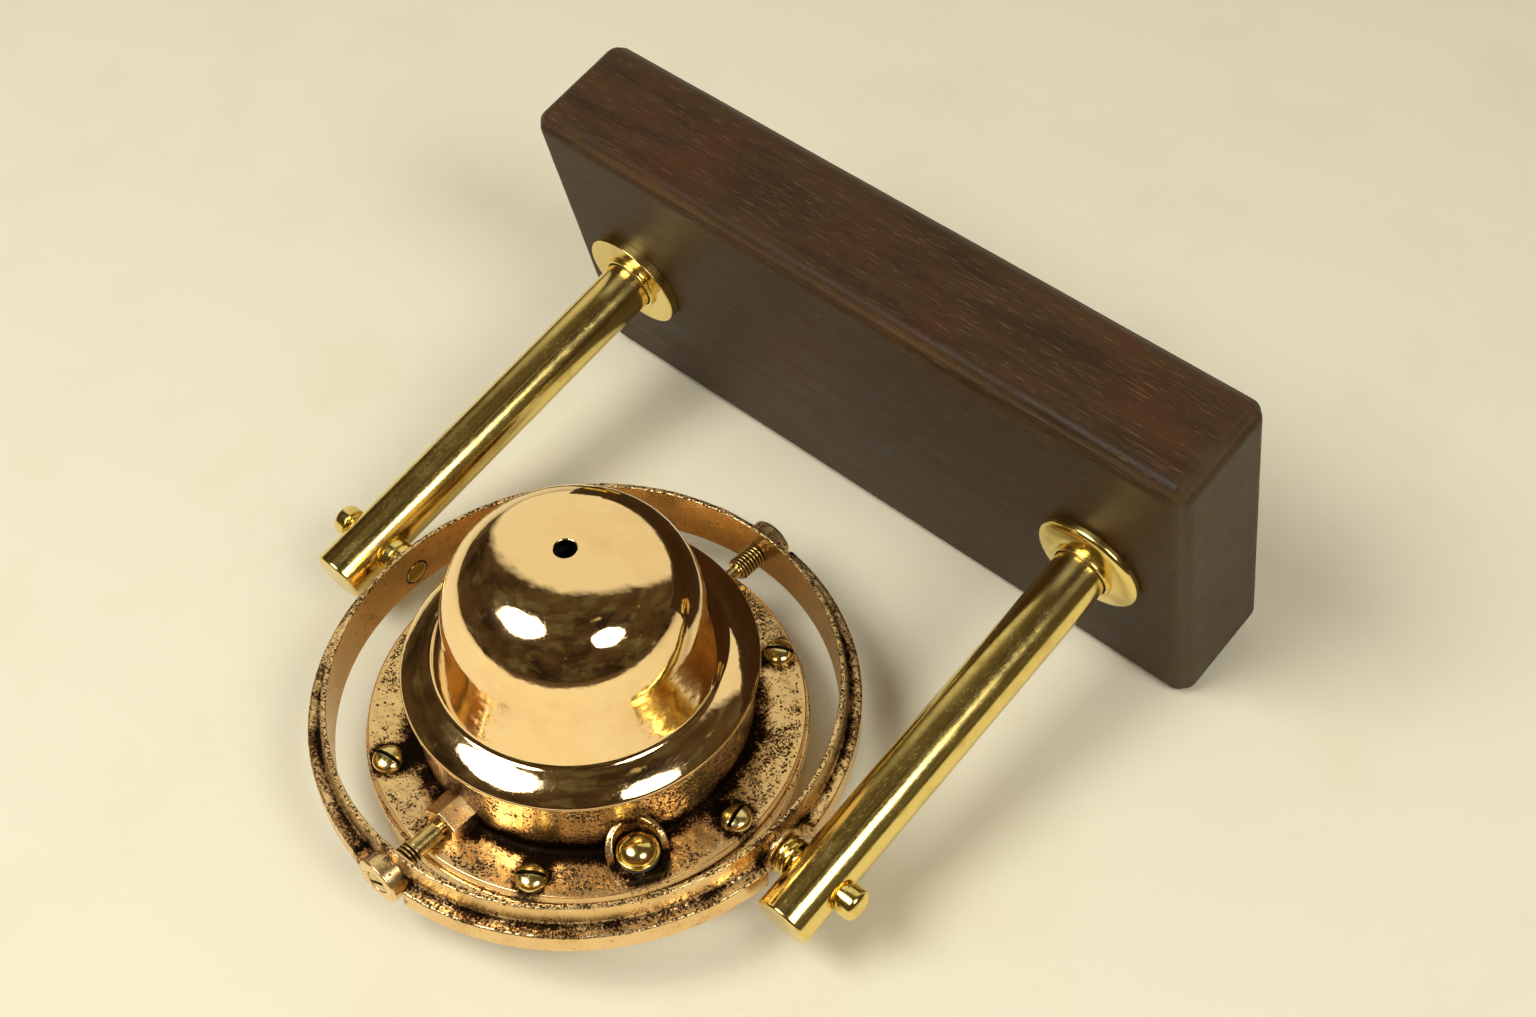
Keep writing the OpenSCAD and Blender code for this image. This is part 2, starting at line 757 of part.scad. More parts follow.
// Round-headed slotted screws that clamp the casting to the bowl
module flange_screws() {
    color("#c9a850") at_gimbal() for (i = [0 : flange_screw_count - 1])
        rotate([0, 0, i * 360 / flange_screw_count])
            translate([flange_screw_circle, 0, flange_top])
                difference() {
                    union() {
                        bar(flange_screw_radius, -flange_thickness - gasket_thickness - 2.2, 0.1);
                        cap(flange_screw_head_radius, flange_screw_head_height);
                    }
                    rotate([0, 0, slot_turns[i % 6]])
                        slab(slot_width, 3 * flange_screw_head_radius,
                            flange_screw_head_height - 1.2, flange_screw_head_height + 1);
                }
}

// Flat gasket between the two flanges
module flange_gasket() {
    color("#2b2622") at_gimbal() difference() {
        hoop(body_inner_radius, flange_radius - 0.3, body_top, flange_bottom);
        round_bowl(flange_screw_count, flange_screw_circle, 0)
            bar(flange_screw_radius + 0.2, body_top - 1, flange_bottom + 1);
    }
}

// Body of the bowl: two flanges joined by a wall, with a seat for the glass
module bowl_body() {
    upper = body_top - body_flange_thickness;
    edge = 0.4;
    color("#ad6d4c") at_gimbal() difference() {
        rotate_extrude() polygon([
            [body_inner_radius, body_top], [body_inner_radius, glass_seat],
            [glass_radius + 0.1, glass_seat], [glass_radius + 0.1, body_bottom],
            [bezel_radius, body_bottom], [bezel_radius, lower_flange_top],
            [body_outer_radius, lower_flange_top], [body_outer_radius, upper],
            [bowl_radius, upper], [bowl_radius, body_top - edge],
            [bowl_radius - edge, body_top]
        ]);
        round_bowl(flange_screw_count, flange_screw_circle, 0)
            bar(flange_screw_radius + running_clearance, upper + 0.5, body_top + 1);
        round_bowl(flange_screw_count, bezel_screw_circle, 180 / flange_screw_count)
            bar(bezel_screw_radius + running_clearance, body_bottom - 1, glass_seat);
        along_y(1) translate([0, -card_face, 0])
            bar(lubber_radius() + 0.02, body_inner_radius - 1, body_inner_radius + 1.5);
    }
}

function lubber_radius() = 0.6;

// Pin that marks the ship's head beside the card
module lubber_pin() {
    color("#c9a850") at_gimbal() along_y(1) translate([0, -card_face, 0])
        bar(lubber_radius(), card_radius + 1, body_inner_radius + 1.45);
}

// Domed plug that closes the filling hole
module filler_plug() {
    low = plug_washer_thickness;
    high = low + plug_collar_thickness;
    color("#d2ab48") at_gimbal() at_plug() {
        bar(plug_thread_radius, -plug_thread_length, low + 0.1);
        bar(plug_collar_radius, low, high);
        translate([0, 0, high]) cap(plug_head_radius, plug_head_height);
    }
}

// Soft washer under the plug
module filler_washer() {
    color("#5d6a70") at_gimbal() at_plug()
        hoop(plug_thread_radius + 0.15, plug_collar_radius - 0.2, 0, plug_washer_thickness);
}

// Bar across the casting that holds the needle
module pivot_bridge() {
    low = ledge_top;
    color("#b98f45") at_gimbal() difference() {
        union() {
            intersection() {
                slab(2 * bridge_length, bridge_width, low, low + bridge_thickness);
                bar(bridge_length / 2, low - 1, low + bridge_thickness + 1);
            }
            bar(bridge_hub_radius, low - bridge_hub_drop, low + bridge_thickness + 0.5);
        }
        bar(needle_radius + 0.03, low - bridge_hub_drop - 1, low + bridge_thickness + 2);
        for (side = [-1, 1])
            translate([side * bridge_screw_x, 0, 0])
                bar(bridge_screw_radius + 0.15, low - 1, low + bridge_thickness + 1);
    }
}

// Small screws that hold the bridge on the casting's ledge
module bridge_screws() {
    top = ledge_top + bridge_thickness;
    color("#c9a850") at_gimbal() for (side = [-1, 1])
        translate([side * bridge_screw_x, 0, 0]) {
            bar(bridge_screw_radius, ledge_top - 1.5, top + 0.1);
            bar(1.7 * bridge_screw_radius, top, top + 1.2 * bridge_screw_radius);
        }
}

// Hard needle with the point that carries the card
module pivot_needle() {
    taper = needle_radius / tan(17);
    color("#9aa0a6") at_gimbal() rotate_extrude() polygon([
        [0, needle_tip], [0.12, needle_tip], [needle_radius, needle_tip + taper],
        [needle_radius, needle_end], [0, needle_end]
    ]);
}

// Glass over the card
module glass() {
    color([0.75, 0.85, 0.85, 0.5]) at_gimbal()
        bar(glass_radius, body_bottom, glass_inner_face);
}

// Rubber ring between glass and bowl
module glass_gasket() {
    color("#1f1f1f") at_gimbal()
        hoop(body_inner_radius + 0.1, glass_radius, glass_inner_face, glass_seat);
}

// Bezel ring that clamps the glass and lies on the table
module bezel_ring() {
    bevel = 1.5;
    edge = 0.5;
    color("#b07350") at_gimbal() difference() {
        rotate_extrude() polygon([
            [bezel_opening_radius, body_bottom],
            [bezel_opening_radius, body_bottom - bezel_thickness / 3],
            [bezel_opening_radius + bevel, bezel_bottom], [bezel_radius - edge, bezel_bottom],
            [bezel_radius, bezel_bottom + edge], [bezel_radius, body_bottom]
        ]);
        round_bowl(flange_screw_count, bezel_screw_circle, 180 / flange_screw_count)
            countersunk(bezel_screw_radius + 0.1, bezel_screw_head_radius + 0.1, 1);
    }
}

// A countersunk bar along the bowl's axis, its head flush with the bezel's face
module countersunk(shank, head, extra) {
    cone = head - shank;
    rotate_extrude() polygon([
        [0, bezel_bottom - extra], [head, bezel_bottom - extra], [head, bezel_bottom],
        [shank, bezel_bottom + cone], [shank, glass_seat - 0.4], [0, glass_seat - 0.4]
    ]);
}

// Countersunk screws that hold the bezel
module bezel_screws() {
    color("#c9a850") at_gimbal()
        round_bowl(flange_screw_count, bezel_screw_circle, 180 / flange_screw_count)
            difference() {
                countersunk(bezel_screw_radius, bezel_screw_head_radius, 0);
                slab(slot_width, 3 * bezel_screw_head_radius, bezel_bottom - 1, bezel_bottom + 0.8);
            }
}

// Card that turns on the needle
module compass_card() {
    color("#f2ead6") at_gimbal()
        hoop(cup_radius + 0.05, card_radius, card_face, card_back);
}

// Float under the card
module card_float() {
    r = float_radius;
    h = float_height;
    color("#c79a58") at_gimbal() rotate_extrude() polygon([
        [cup_radius + 0.05, card_back], [r * 0.85, card_back], [r, card_back + h * 0.3],
        [r * 0.95, card_back + h * 0.62], [r * 0.72, card_back + h * 0.9],
        [r * 0.5, float_top], [cup_radius + 1.6, float_top], [cup_radius + 0.05, cup_top]
    ]);
}

// Jewelled cup that rides on the needle's point
module jewel_cup() {
    mouth = (cup_top - cup_apex) * tan(35);
    color("#b03a48") at_gimbal() rotate_extrude() polygon([
        [0, card_face], [cup_radius, card_face], [cup_radius, cup_top],
        [min(mouth, cup_radius - 0.3), cup_top], [0, cup_apex]
    ]);
}

// Magnet rods on the card's back
module magnets() {
    lift = card_back + magnet_radius + 0.02;
    color("#555b60") at_gimbal() for (side = [-1, 1], row = [0, 1])
        translate([side * (magnet_offset + row * magnet_step), 0, lift])
            rotate([90, 0, 0])
                bar(magnet_radius, -magnet_length * (0.5 - 0.14 * row),
                    magnet_length * (0.5 - 0.14 * row));
}

base_block();
post(-1);  // post_left
post(1);  // post_right
rosette_left();
rosette_right();
post_screws();
post_washers();
pivot_pin(-1);  // pivot_pin_left
pivot_pin(1);  // pivot_pin_right
pivot_collars();
gimbal_ring();
pivot_screw(-1);  // pivot_screw_front
pivot_screw(1);  // pivot_screw_rear
bell_cover();
ballast_weight();
diaphragm();
diaphragm_ring();
bottom_casting();
flange_screws();
flange_gasket();
bowl_body();
filler_plug();
filler_washer();
pivot_bridge();
bridge_screws();
pivot_needle();
lubber_pin();
glass();
glass_gasket();
bezel_ring();
bezel_screws();
compass_card();
card_float();
jewel_cup();
magnets();
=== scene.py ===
import json
import math
from functools import partial

import bmesh
import bpy
import numpy as np
from mathutils import Matrix, Vector


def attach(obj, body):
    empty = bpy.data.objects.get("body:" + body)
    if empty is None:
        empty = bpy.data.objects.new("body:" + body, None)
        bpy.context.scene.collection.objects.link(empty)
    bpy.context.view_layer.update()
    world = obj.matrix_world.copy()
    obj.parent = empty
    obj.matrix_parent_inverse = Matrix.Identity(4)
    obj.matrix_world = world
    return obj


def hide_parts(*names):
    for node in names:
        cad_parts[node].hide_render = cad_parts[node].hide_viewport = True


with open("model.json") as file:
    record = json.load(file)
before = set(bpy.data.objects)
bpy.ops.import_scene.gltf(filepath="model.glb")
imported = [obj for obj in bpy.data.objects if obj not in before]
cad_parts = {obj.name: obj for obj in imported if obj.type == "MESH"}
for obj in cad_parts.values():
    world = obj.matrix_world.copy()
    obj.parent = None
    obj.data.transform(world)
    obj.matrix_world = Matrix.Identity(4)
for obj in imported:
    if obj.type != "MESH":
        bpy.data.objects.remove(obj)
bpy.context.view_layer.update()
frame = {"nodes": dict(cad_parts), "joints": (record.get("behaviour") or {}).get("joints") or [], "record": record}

print("frame loaded:", len(frame["nodes"]), "nodes")

# Places. Sizes in this file are millimetres, and a place turns them into the frame's metres.
mm = 0.001
joints = {joint["name"]: joint for joint in frame["joints"]}
mounts = {mount["name"]: mount for mount in frame["record"]["mounts"]}
gimbalMiddle = np.array(joints["ring_pivot"]["pos_m"])
baseAxis = mounts["base_face"]["axis"]
lean = math.atan2(baseAxis[2], baseAxis[1])  # the stand leans back onto the edge of its block


def placeOf(origin, turn):
    place = np.eye(4)
    place[:3, :3] = np.array(turn) * mm
    place[:3, 3] = origin
    return place


bowlPlace = placeOf(gimbalMiddle, np.eye(3))
standPlace = placeOf(gimbalMiddle, Matrix.Rotation(lean, 3, "X"))  # Y runs along the posts to the block


# A place inside another one: its Z runs along the given line, and its X as near to across as can be.
def placeIn(place, origin=(0, 0, 0), along=(0, 0, 1), across=(1, 0, 0)):
    along = np.array(along, float) / np.linalg.norm(along)
    across = np.array(across, float) - along * np.dot(across, along)
    across = across / np.linalg.norm(across)
    inner = np.eye(4)
    inner[:3, :3] = np.stack([across, np.cross(along, across), along], 1)
    inner[:3, 3] = origin
    return place @ inner


def moved(points, place):
    return points @ place[:3, :3].T + place[:3, 3]


# How far points are from the Z axis.
def fromAxis(points):
    return np.hypot(points[..., 0], points[..., 1])


# Random numbers on a cubic lattice, blended between its corners with a smooth step. Runs from -1 to 1.
def latticeNoise(points, cell, seed):
    table = np.random.default_rng(seed).uniform(-1, 1, (32, 32, 32))
    scaled = points / cell
    low = np.floor(scaled).astype(int)
    part = scaled - low
    part = part * part * (3 - 2 * part)
    total = np.zeros(points.shape[:-1])
    for corner in range(8):
        bits = np.array([corner & 1, (corner >> 1) & 1, (corner >> 2) & 1])
        weight = np.prod(np.where(bits, part, 1 - part), -1)
        x, y, z = np.moveaxis((low + bits) % 32, -1, 0)
        total = total + weight * table[x, y, z]
    return total


# A number from 0 to 1 as value passes from low to high, with a smooth start and end.
def smoothStep(low, high, value):
    part = np.clip((value - low) / (high - low), 0, 1)
    return part * part * (3 - 2 * part)


# The outline through the given corners (radius, height, fillet). A filleted corner becomes a round arc, with
# a point just before and after it, so that the flats beside it stay flat in the light.
def outlineOf(corners, closed=False):
    arcSteps = 5
    guard = 0.12
    line = []
    count = len(corners)
    for index, corner in enumerate(corners):
        here = np.array(corner[:2], float)
        fillet = corner[2] if len(corner) > 2 else 0
        if fillet == 0 or (not closed and index in (0, count - 1)):
            line.append(here)
            continue
        back = np.array(corners[index - 1][:2]) - here
        ahead = np.array(corners[(index + 1) % count][:2]) - here
        backLength = np.linalg.norm(back)
        aheadLength = np.linalg.norm(ahead)
        back = back / backLength
        ahead = ahead / aheadLength
        half = math.acos(np.clip(back @ ahead, -1, 1)) / 2
        reach = fillet / math.tan(half)
        centre = here + (back + ahead) / np.linalg.norm(back + ahead) * fillet / math.sin(half)
        start = here + back * reach - centre
        end = here + ahead * reach - centre
        sweep = math.pi - 2 * half
        if backLength > reach + 2 * guard:
            line.append(here + back * (reach + guard))
        for part in np.linspace(0, 1, arcSteps + 1):
            mixed = math.sin((1 - part) * sweep) * start + math.sin(part * sweep) * end
            line.append(centre + mixed / math.sin(sweep))
        if aheadLength > reach + 2 * guard:
            line.append(here + ahead * (reach + guard))
    return np.array(line)


# An outline with points no further apart than step.
def denseOutline(corners, step, closed=False):
    line = outlineOf(corners, closed)
    ends = np.roll(line, -1, 0) if closed else line[1:]
    out = []
    for start, end in zip(line, ends):
        count = max(1, int(np.ceil(np.linalg.norm(end - start) / step)))
        out.append(start + (end - start) * np.linspace(0, 1, count, endpoint=False)[:, None])
    if not closed:
        out.append(line[-1:])
    return np.concatenate(out)


def roundAngles(count):
    return np.linspace(0, 2 * math.pi, count, endpoint=False)


# A turned surface: the point (radius, height) of the outline at each angle round the Z axis.
def turnedGrid(line, angles):
    radius = line[:, 0, None]
    height = np.broadcast_to(line[:, 1, None], (len(line), len(angles)))
    return np.stack([radius * np.cos(angles), radius * np.sin(angles), height], -1)


# A round bar, ring or cap. A shell is its grid of points, and whether its rows and its columns close.
def turned(corners, place, count=96, closed=False):
    return moved(turnedGrid(outlineOf(corners, closed), roundAngles(count)), place), closed, True


# A mesh from shells. Each face joins a point to its neighbours in the next row and column. A mark is an
# attribute for the finish, with an array for each shell.
def meshOf(name, shells, sharp, marks):
    points = []
    quads = []
    first = 0
    for grid, closeRows, closeColumns in shells:
        rows, columns = grid.shape[:2]
        row, column = np.meshgrid(np.arange(rows if closeRows else rows - 1),
                                  np.arange(columns if closeColumns else columns - 1), indexing="ij")
        nextRow = (row + 1) % rows
        nextColumn = (column + 1) % columns
        corners = [row * columns + column, nextRow * columns + column,
                   nextRow * columns + nextColumn, row * columns + nextColumn]
        quads.append(np.stack(corners, -1).reshape(-1, 4) + first)
        points.append(grid.reshape(-1, 3))
        first += rows * columns
    points = np.concatenate(points)
    quads = np.concatenate(quads)
    mesh = bpy.data.meshes.new(name)
    mesh.vertices.add(len(points))
    mesh.vertices.foreach_set("co", points.astype(np.float32).ravel())
    mesh.loops.add(quads.size)
    mesh.loops.foreach_set("vertex_index", quads.astype(np.int32).ravel())
    mesh.polygons.add(len(quads))
    mesh.polygons.foreach_set("loop_start", np.arange(0, quads.size, 4, dtype=np.int32))
    for mark, parts in (marks or {}).items():
        values = np.concatenate([part.ravel() for part in parts]).astype(np.float32)
        mesh.attributes.new(mark, "FLOAT", "POINT").data.foreach_set("value", values)
    mesh.update(calc_edges=True)
    mesh.validate()
    work = bmesh.new()
    work.from_mesh(mesh)
    bmesh.ops.remove_doubles(work, verts=work.verts, dist=2e-6)
    bmesh.ops.recalc_face_normals(work, faces=work.faces)
    work.to_mesh(mesh)
    work.free()
    mesh.polygons.foreach_set("use_smooth", np.ones(len(mesh.polygons), bool))
    mesh.set_sharp_from_angle(angle=math.radians(sharp))
    return mesh


# Puts a mesh, text, lamp or camera into the scene.
def shown(name, data):
    made = bpy.data.objects.new(name, data)
    bpy.context.scene.collection.objects.link(made)
    return made


def addPiece(name, body, finish, mesh, replaced=()):
    mesh.materials.append(finish)
    piece = shown(name, mesh)
    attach(piece, body)
    if replaced:
        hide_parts(*replaced)
    return piece


def makePiece(name, body, finish, shells, replaced=(), sharp=38, marks=None):
    return addPiece(name, body, finish, meshOf(name, shells, sharp, marks), replaced)


# Cuts closed shells out of a piece.
def drill(piece, shells, sharp):
    cutter = shown("cutter", meshOf("cutter", shells, sharp, None))
    cut = piece.modifiers.new("cut", "BOOLEAN")
    cut.operation = "DIFFERENCE"
    cut.solver = "EXACT"
    cut.object = cutter
    mesh = bpy.data.meshes.new_from_object(piece.evaluated_get(bpy.context.evaluated_depsgraph_get()))
    mesh.set_sharp_from_angle(angle=math.radians(sharp))
    piece.modifiers.clear()
    piece.data = mesh
    bpy.data.objects.remove(cutter)


# Finishes

def colour(code):
    parts = [int(code[start:start + 2], 16) / 255 for start in (1, 3, 5)]
    return tuple(part / 12.92 if part <= 0.04045 else ((part + 0.055) / 1.055) ** 2.4 for part in parts) + (1,)


# Sets or links a node's sockets, by their names or in their order.
def fill(node, sockets):
    for key, value in sockets.items() if isinstance(sockets, dict) else enumerate(sockets):
        if isinstance(value, bpy.types.NodeSocket):
            node.id_data.links.new(value, node.inputs[key])
        else:
            node.inputs[key].default_value = value


# Adds a node with its settings and links, and gives back one of its outputs.
def addNode(tree, kind, sockets=(), output=0, **settings):
    made = tree.nodes.new("ShaderNode" + kind)
    for key, value in settings.items():
        setattr(made, key, value)
    fill(made, sockets)
    return made.outputs[output]


def newFinish(name):
    material = bpy.data.materials.new(name)
    material.use_nodes = True
    tree = material.node_tree
    return material, partial(addNode, tree), tree.nodes["Principled BSDF"]


# Where the pattern lies: the piece's own place in metres, turned and stretched.
def patternPlace(add, turn=(0, 0, 0), stretch=(1, 1, 1)):
    return add("Mapping", {"Vector": add("TexCoord", output="Object"), "Rotation": turn, "Scale": stretch})


# Settings for noise whose blobs are about size millimetres wide.
def sized(where, size, detail, rough=0.55, distort=0):
    return {"Vector": where, "Scale": 1 / (size * mm), "Detail": detail, "Roughness": rough,
            "Distortion": distort}


# Paints layers over a base colour. A layer is a pattern, the two values of it between which the layer comes in,
# how much it covers at most, and its colour.
def painted(add, base, *layers):
    tone = colour(base)
    for pattern, low, high, cover, code in layers:
        share = add("MapRange", (pattern, low, high, 0, cover))
        tone = add("Mix", {0: share, 6: tone, 7: colour(code)}, 2, data_type="RGBA")
    return tone


# Frays the edge of a mask: adds patterns to it, each of them from minus its spread to its spread.
def frayed(add, mask, *patterns):
    for pattern, spread in patterns:
        fringe = add("MapRange", (pattern, 0.3, 0.7, -spread, spread))
        mask = add("Math", (mask, fringe), operation="ADD")
    return mask


# Bumps on top of one another: the height's pattern, its depth in millimetres and its strength.
def bumps(add, *layers):
    under = {}
    for height, depth, strength in layers:
        sockets = {"Height": height, "Distance": depth * mm, "Strength": strength}
        under = {"Normal": add("Bump", {**sockets, **under})}
    return under["Normal"]


# Polished metal: buffed to a mirror, with fine wiping scratches and a little tarnish that dulls it. The
# darkening attribute is painted shade in a screw's slot, where it is 1, in thread grooves and at screw feet,
# and the old polish in the seam at a rosette.
def polishedMetal(name, clean, tarnished, dirtAndShadeTone, tarnish, tarnishSize, smooth, dull, scratchSize, scratchStretch,
                  scratchDull, scratchDepth, waveSize, waveDepth, turn):
    material, add, shader = newFinish(name)
    where = patternPlace(add)
    drawnOut = patternPlace(add, turn, (1, scratchStretch, 1))
    patches = add("TexNoise", sized(where, tarnishSize, 5, 0.65))
    scratch = add("MapRange", (add("TexNoise", sized(drawnOut, scratchSize, 2, 0.5)), 0.56, 0.7))
    dirtAndShade = add("Attribute", output="Fac", attribute_name="dirtAndShade")
    roughness = add("MapRange", (patches, 0.5, 0.72, smooth, dull))
    for mask, share in ((scratch, scratchDull), (dirtAndShade, 0.4)):
        roughness = add("Math", (mask, share, roughness), operation="MULTIPLY_ADD")
    wave = add("TexNoise", sized(where, waveSize, 2, 0.4))
    tone = painted(add, clean, (patches, 0.5, 0.72, tarnish, tarnished), (dirtAndShade, 0, 1, 1, dirtAndShadeTone))
    fill(shader, {"Metallic": 1, "Base Color": tone, "Roughness": roughness,
                  "Normal": bumps(add, (wave, waveDepth, 1), (scratch, scratchDepth, 1))})
    return material


bellFinish = dict(
    clean="#ffdfa9", tarnished="#dcac6c", dirtAndShadeTone="#171208", tarnish=0.35, tarnishSize=22, smooth=0.055, dull=0.13,
    scratchSize=0.3, scratchStretch=0.06, scratchDull=0.07, scratchDepth=0.0008, waveSize=5, waveDepth=0.09,
    turn=(0, 0, 0.6))
postFinish = dict(
    bellFinish, clean="#eed684", tarnished="#b08c3a", tarnish=0.6, tarnishSize=9, smooth=0.15, dull=0.26,
    scratchSize=0.25, scratchStretch=0.02, scratchDull=0.1, scratchDepth=0.0012, waveSize=9, waveDepth=0.05,
    turn=(-lean, 0, 0))
screwFinish = dict(
    bellFinish, clean="#f0dc98", tarnished="#7d652e", tarnish=0.5, tarnishSize=3, smooth=0.16, dull=0.32,
    scratchSize=0.4, scratchStretch=0.3, scratchDull=0.12, scratchDepth=0.004, waveSize=2, waveDepth=0.02,
    turn=(0, 0, 0.3))
pivotFinish = dict(screwFinish, clean="#dcc280", tarnished="#7d6a38", tarnish=0.8, tarnishSize=2.5, smooth=0.2,
                   dull=0.42)
sheetFinish = dict(screwFinish, clean="#d9b878", tarnished="#8a6a34", tarnishSize=8, smooth=0.22, dull=0.4,
                   scratchSize=0.5, scratchStretch=0.2, scratchDull=0.1, waveSize=6, turn=(0, 0, 0))
mirrorBronze = polishedMetal("mirror_polished_bronze", **bellFinish)  # rosy gold, mirrors table and room
polishedBrass = polishedMetal("polished_brass", **postFinish)  # yellow, with wiping scratches along the bars
screwBrass = polishedMetal("turned_screw_brass", **screwFinish)  # turned, brown in the hollows
oldScrewBrass = polishedMetal("tarnished_screw_brass", **pivotFinish)  # green-brown, as brass gets in sea air
spunBrass = polishedMetal("spun_sheet_brass", **sheetFinish)  # satin from spinning

castings = dict(clean="#f6d59c", warm="#eac284", brown="#7c5028", pit="#2b1b0d", black="#1a120a", pitSize=0.85,
                pitDepth=0.1, grainSize=0.5, grainDepth=0.06, stainSize=12, smooth=0.27, dull=0.5)


# Sand-cast bronze: grains of the mould leave pits, the open faces are buffed bright and the corners keep
# a black and brown patina, with painted shade laid in the same colours round raised parts and in recesses.
# The darkening attribute says how dark a place is, patina and painted shade together, and rough how much it
# is pitted.
def castMetal(name, clean, warm, brown, pit, black, pitSize, pitDepth, grainSize, grainDepth, stainSize, smooth,
              dull):
    material, add, shader = newFinish(name)
    where = patternPlace(add)
    dirtAndShade, rough = [add("Attribute", output="Fac", attribute_name=mark) for mark in ("dirtAndShade", "rough")]
    fine = add("TexNoise", sized(where, 0.5, 3, 0.7))
    grain = add("TexNoise", sized(where, grainSize, 2, 0.6))
    stain = add("TexNoise", sized(where, stainSize, 5, 0.65, 0.6))
    level = add("Math", (add("Math", (dirtAndShade, 0.5, rough), operation="MULTIPLY_ADD"),
                         add("MapRange", (stain, 0.38, 0.62, 0.08, 1.2))), operation="MULTIPLY")
    pits = 0.0
    for size in (pitSize, pitSize * 0.55):
        cells = add("TexVoronoi", {"Vector": where, "Scale": 1 / (size * mm)}).node.outputs
        chance = add("SeparateColor", (cells["Color"],))
        inside = add("MapRange", (add("Math", (cells["Distance"], fine), operation="ADD"), 0.98, 0.86))
        here = add("MapRange", (add("Math", (level, chance), operation="SUBTRACT"), -0.04, 0.04))
        pits = add("Math", (pits, add("Math", (inside, here), operation="MULTIPLY")), operation="MAXIMUM")
    patinaAndShade = frayed(add, dirtAndShade, (stain, 0.3), (fine, 0.28))
    tone = painted(add, clean, (stain, 0.35, 0.7, 1, warm), (patinaAndShade, 0.26, 0.58, 1, brown),
                   (pits, 0, 1, 0.92, pit), (patinaAndShade, 0.5, 0.68, 1, black))
    dulled = add("Math", (add("MapRange", (patinaAndShade, 0.26, 0.58)), pits), operation="MAXIMUM")
    skin = add("Math", (1.0, pits), operation="SUBTRACT")
    roughGrain = add("Math", (grain, add("MapRange", (rough, 0, 1, 0.05, 1))), operation="MULTIPLY")
    fill(shader, {"Metallic": 1, "Base Color": tone, "Roughness": add("MapRange", (dulled, 0, 1, smooth, dull)),
                  "Normal": bumps(add, (skin, pitDepth, 0.8), (roughGrain, grainDepth, 1))})
    return material


castBronze = castMetal("sand_cast_bronze", **castings)

wood = dict(dark="#2e1e0c", middle="#422b13", red="#4a240d", pale="#7d6238", rubbed="#604b2b", grey="#4c3f28",
            poreLength=6, poreWidth=0.32, bandWidth=5, patchSize=38)


# Oiled dark hardwood: open pores run along the block and hold pale dust, the edges are rubbed paler and
# one end is greyed. The attribute worn is 1 on the rubbed edges, and greyed at that end.
def hardwood(name, dark, middle, red, pale, rubbed, grey, poreLength, poreWidth, bandWidth, patchSize):
    material, add, shader = newFinish(name)
    straight, grainwise, banded = [patternPlace(add, (-lean, 0, 0), (stretch, 1, 1))
                                   for stretch in (1, poreWidth / poreLength, 0.12)]
    worn, greyed = [add("Attribute", output="Fac", attribute_name=mark) for mark in ("worn", "greyed")]
    bands = add("TexNoise", sized(banded, bandWidth, 4, 0.6, 0.4))
    patches = add("TexNoise", sized(straight, patchSize, 4, 0.6))
    pores = add("TexNoise", sized(grainwise, poreWidth, 2, 0.6))
    fibres = add("TexNoise", sized(grainwise, poreWidth * 0.5, 2, 0.6))
    tone = painted(add, dark, (bands, 0.35, 0.65, 1, middle), (patches, 0.52, 0.72, 0.7, red),
                   (pores, 0.6, 0.68, 0.36, pale), (frayed(add, worn, (patches, 0.35)), 0.5, 1.1, 0.4, rubbed),
                   (frayed(add, greyed, (patches, 0.4)), 0.4, 1.2, 0.6, grey))
    skin = add("MapRange", (pores, 0.58, 0.68, 1, 0))
    fill(shader, {"Base Color": tone, "Roughness": add("MapRange", (bands, 0.3, 0.7, 0.4, 0.56)),
                  "Specular IOR Level": 0.22, "Normal": bumps(add, (skin, 0.12, 0.7), (fibres, 0.05, 0.6))})
    return material


oiledHardwood = hardwood("oiled_dark_hardwood", **wood)


# A finish that is even enough for one recipe: a tone that drifts between two colours, and a fine grain.
def plainFinish(name, first, second, size, rough, metallic=0, grainSize=0.4, grainDepth=0.01, others=None):
    material, add, shader = newFinish(name)
    where = patternPlace(add)
    drift = add("TexNoise", sized(where, size, 4))
    uneven = add("TexNoise", sized(where, size * 0.6, 3))
    grain = add("TexNoise", sized(where, grainSize, 2))
    fill(shader, {"Metallic": metallic, "Base Color": painted(add, first, (drift, 0.35, 0.65, 1, second)),
                  "Roughness": add("MapRange", (uneven, 0.3, 0.7, rough * 0.85, rough * 1.15)),
                  "Normal": bumps(add, (grain, grainDepth, 1)), **(others or {})})
    return material


blackRubber = plainFinish("black_rubber", "#1a1613", "#2c241d", 4, 0.6)  # cut sheet, dusty
blueFibre = plainFinish("blue_grey_fibre_washer", "#4a5863", "#6b7c86", 2, 0.45)  # pressed fibre
turnedSteel = plainFinish("turned_steel", "#8f9194", "#a9abad", 3, 0.3, 1)  # plain machine steel
castLead = plainFinish("cast_lead", "#5d6065", "#777b80", 5, 0.55, 1)  # dull grey
rubyJewel = plainFinish("polished_ruby", "#7c1226", "#9c2036", 2, 0.12)  # synthetic stone cup
clearGlass = plainFinish("float_glass", "#eef4f1", "#e8f0ed", 20, 0.03, 0, 6, 0.002,
                         {"Transmission Weight": 1.0, "IOR": 1.52})  # flat and clear
cardEnamel = plainFinish("white_enamelled_card", "#efe9d8", "#e4dcc6", 12, 0.5)  # matt white paint, yellowed
printInk = plainFinish("black_printed_ink", "#17181c", "#202228", 3, 0.45)  # thin and matt
redInk = plainFinish("red_printed_ink", "#7d1c17", "#8f2a20", 3, 0.45)  # the same, in dull red
print("finishes made")

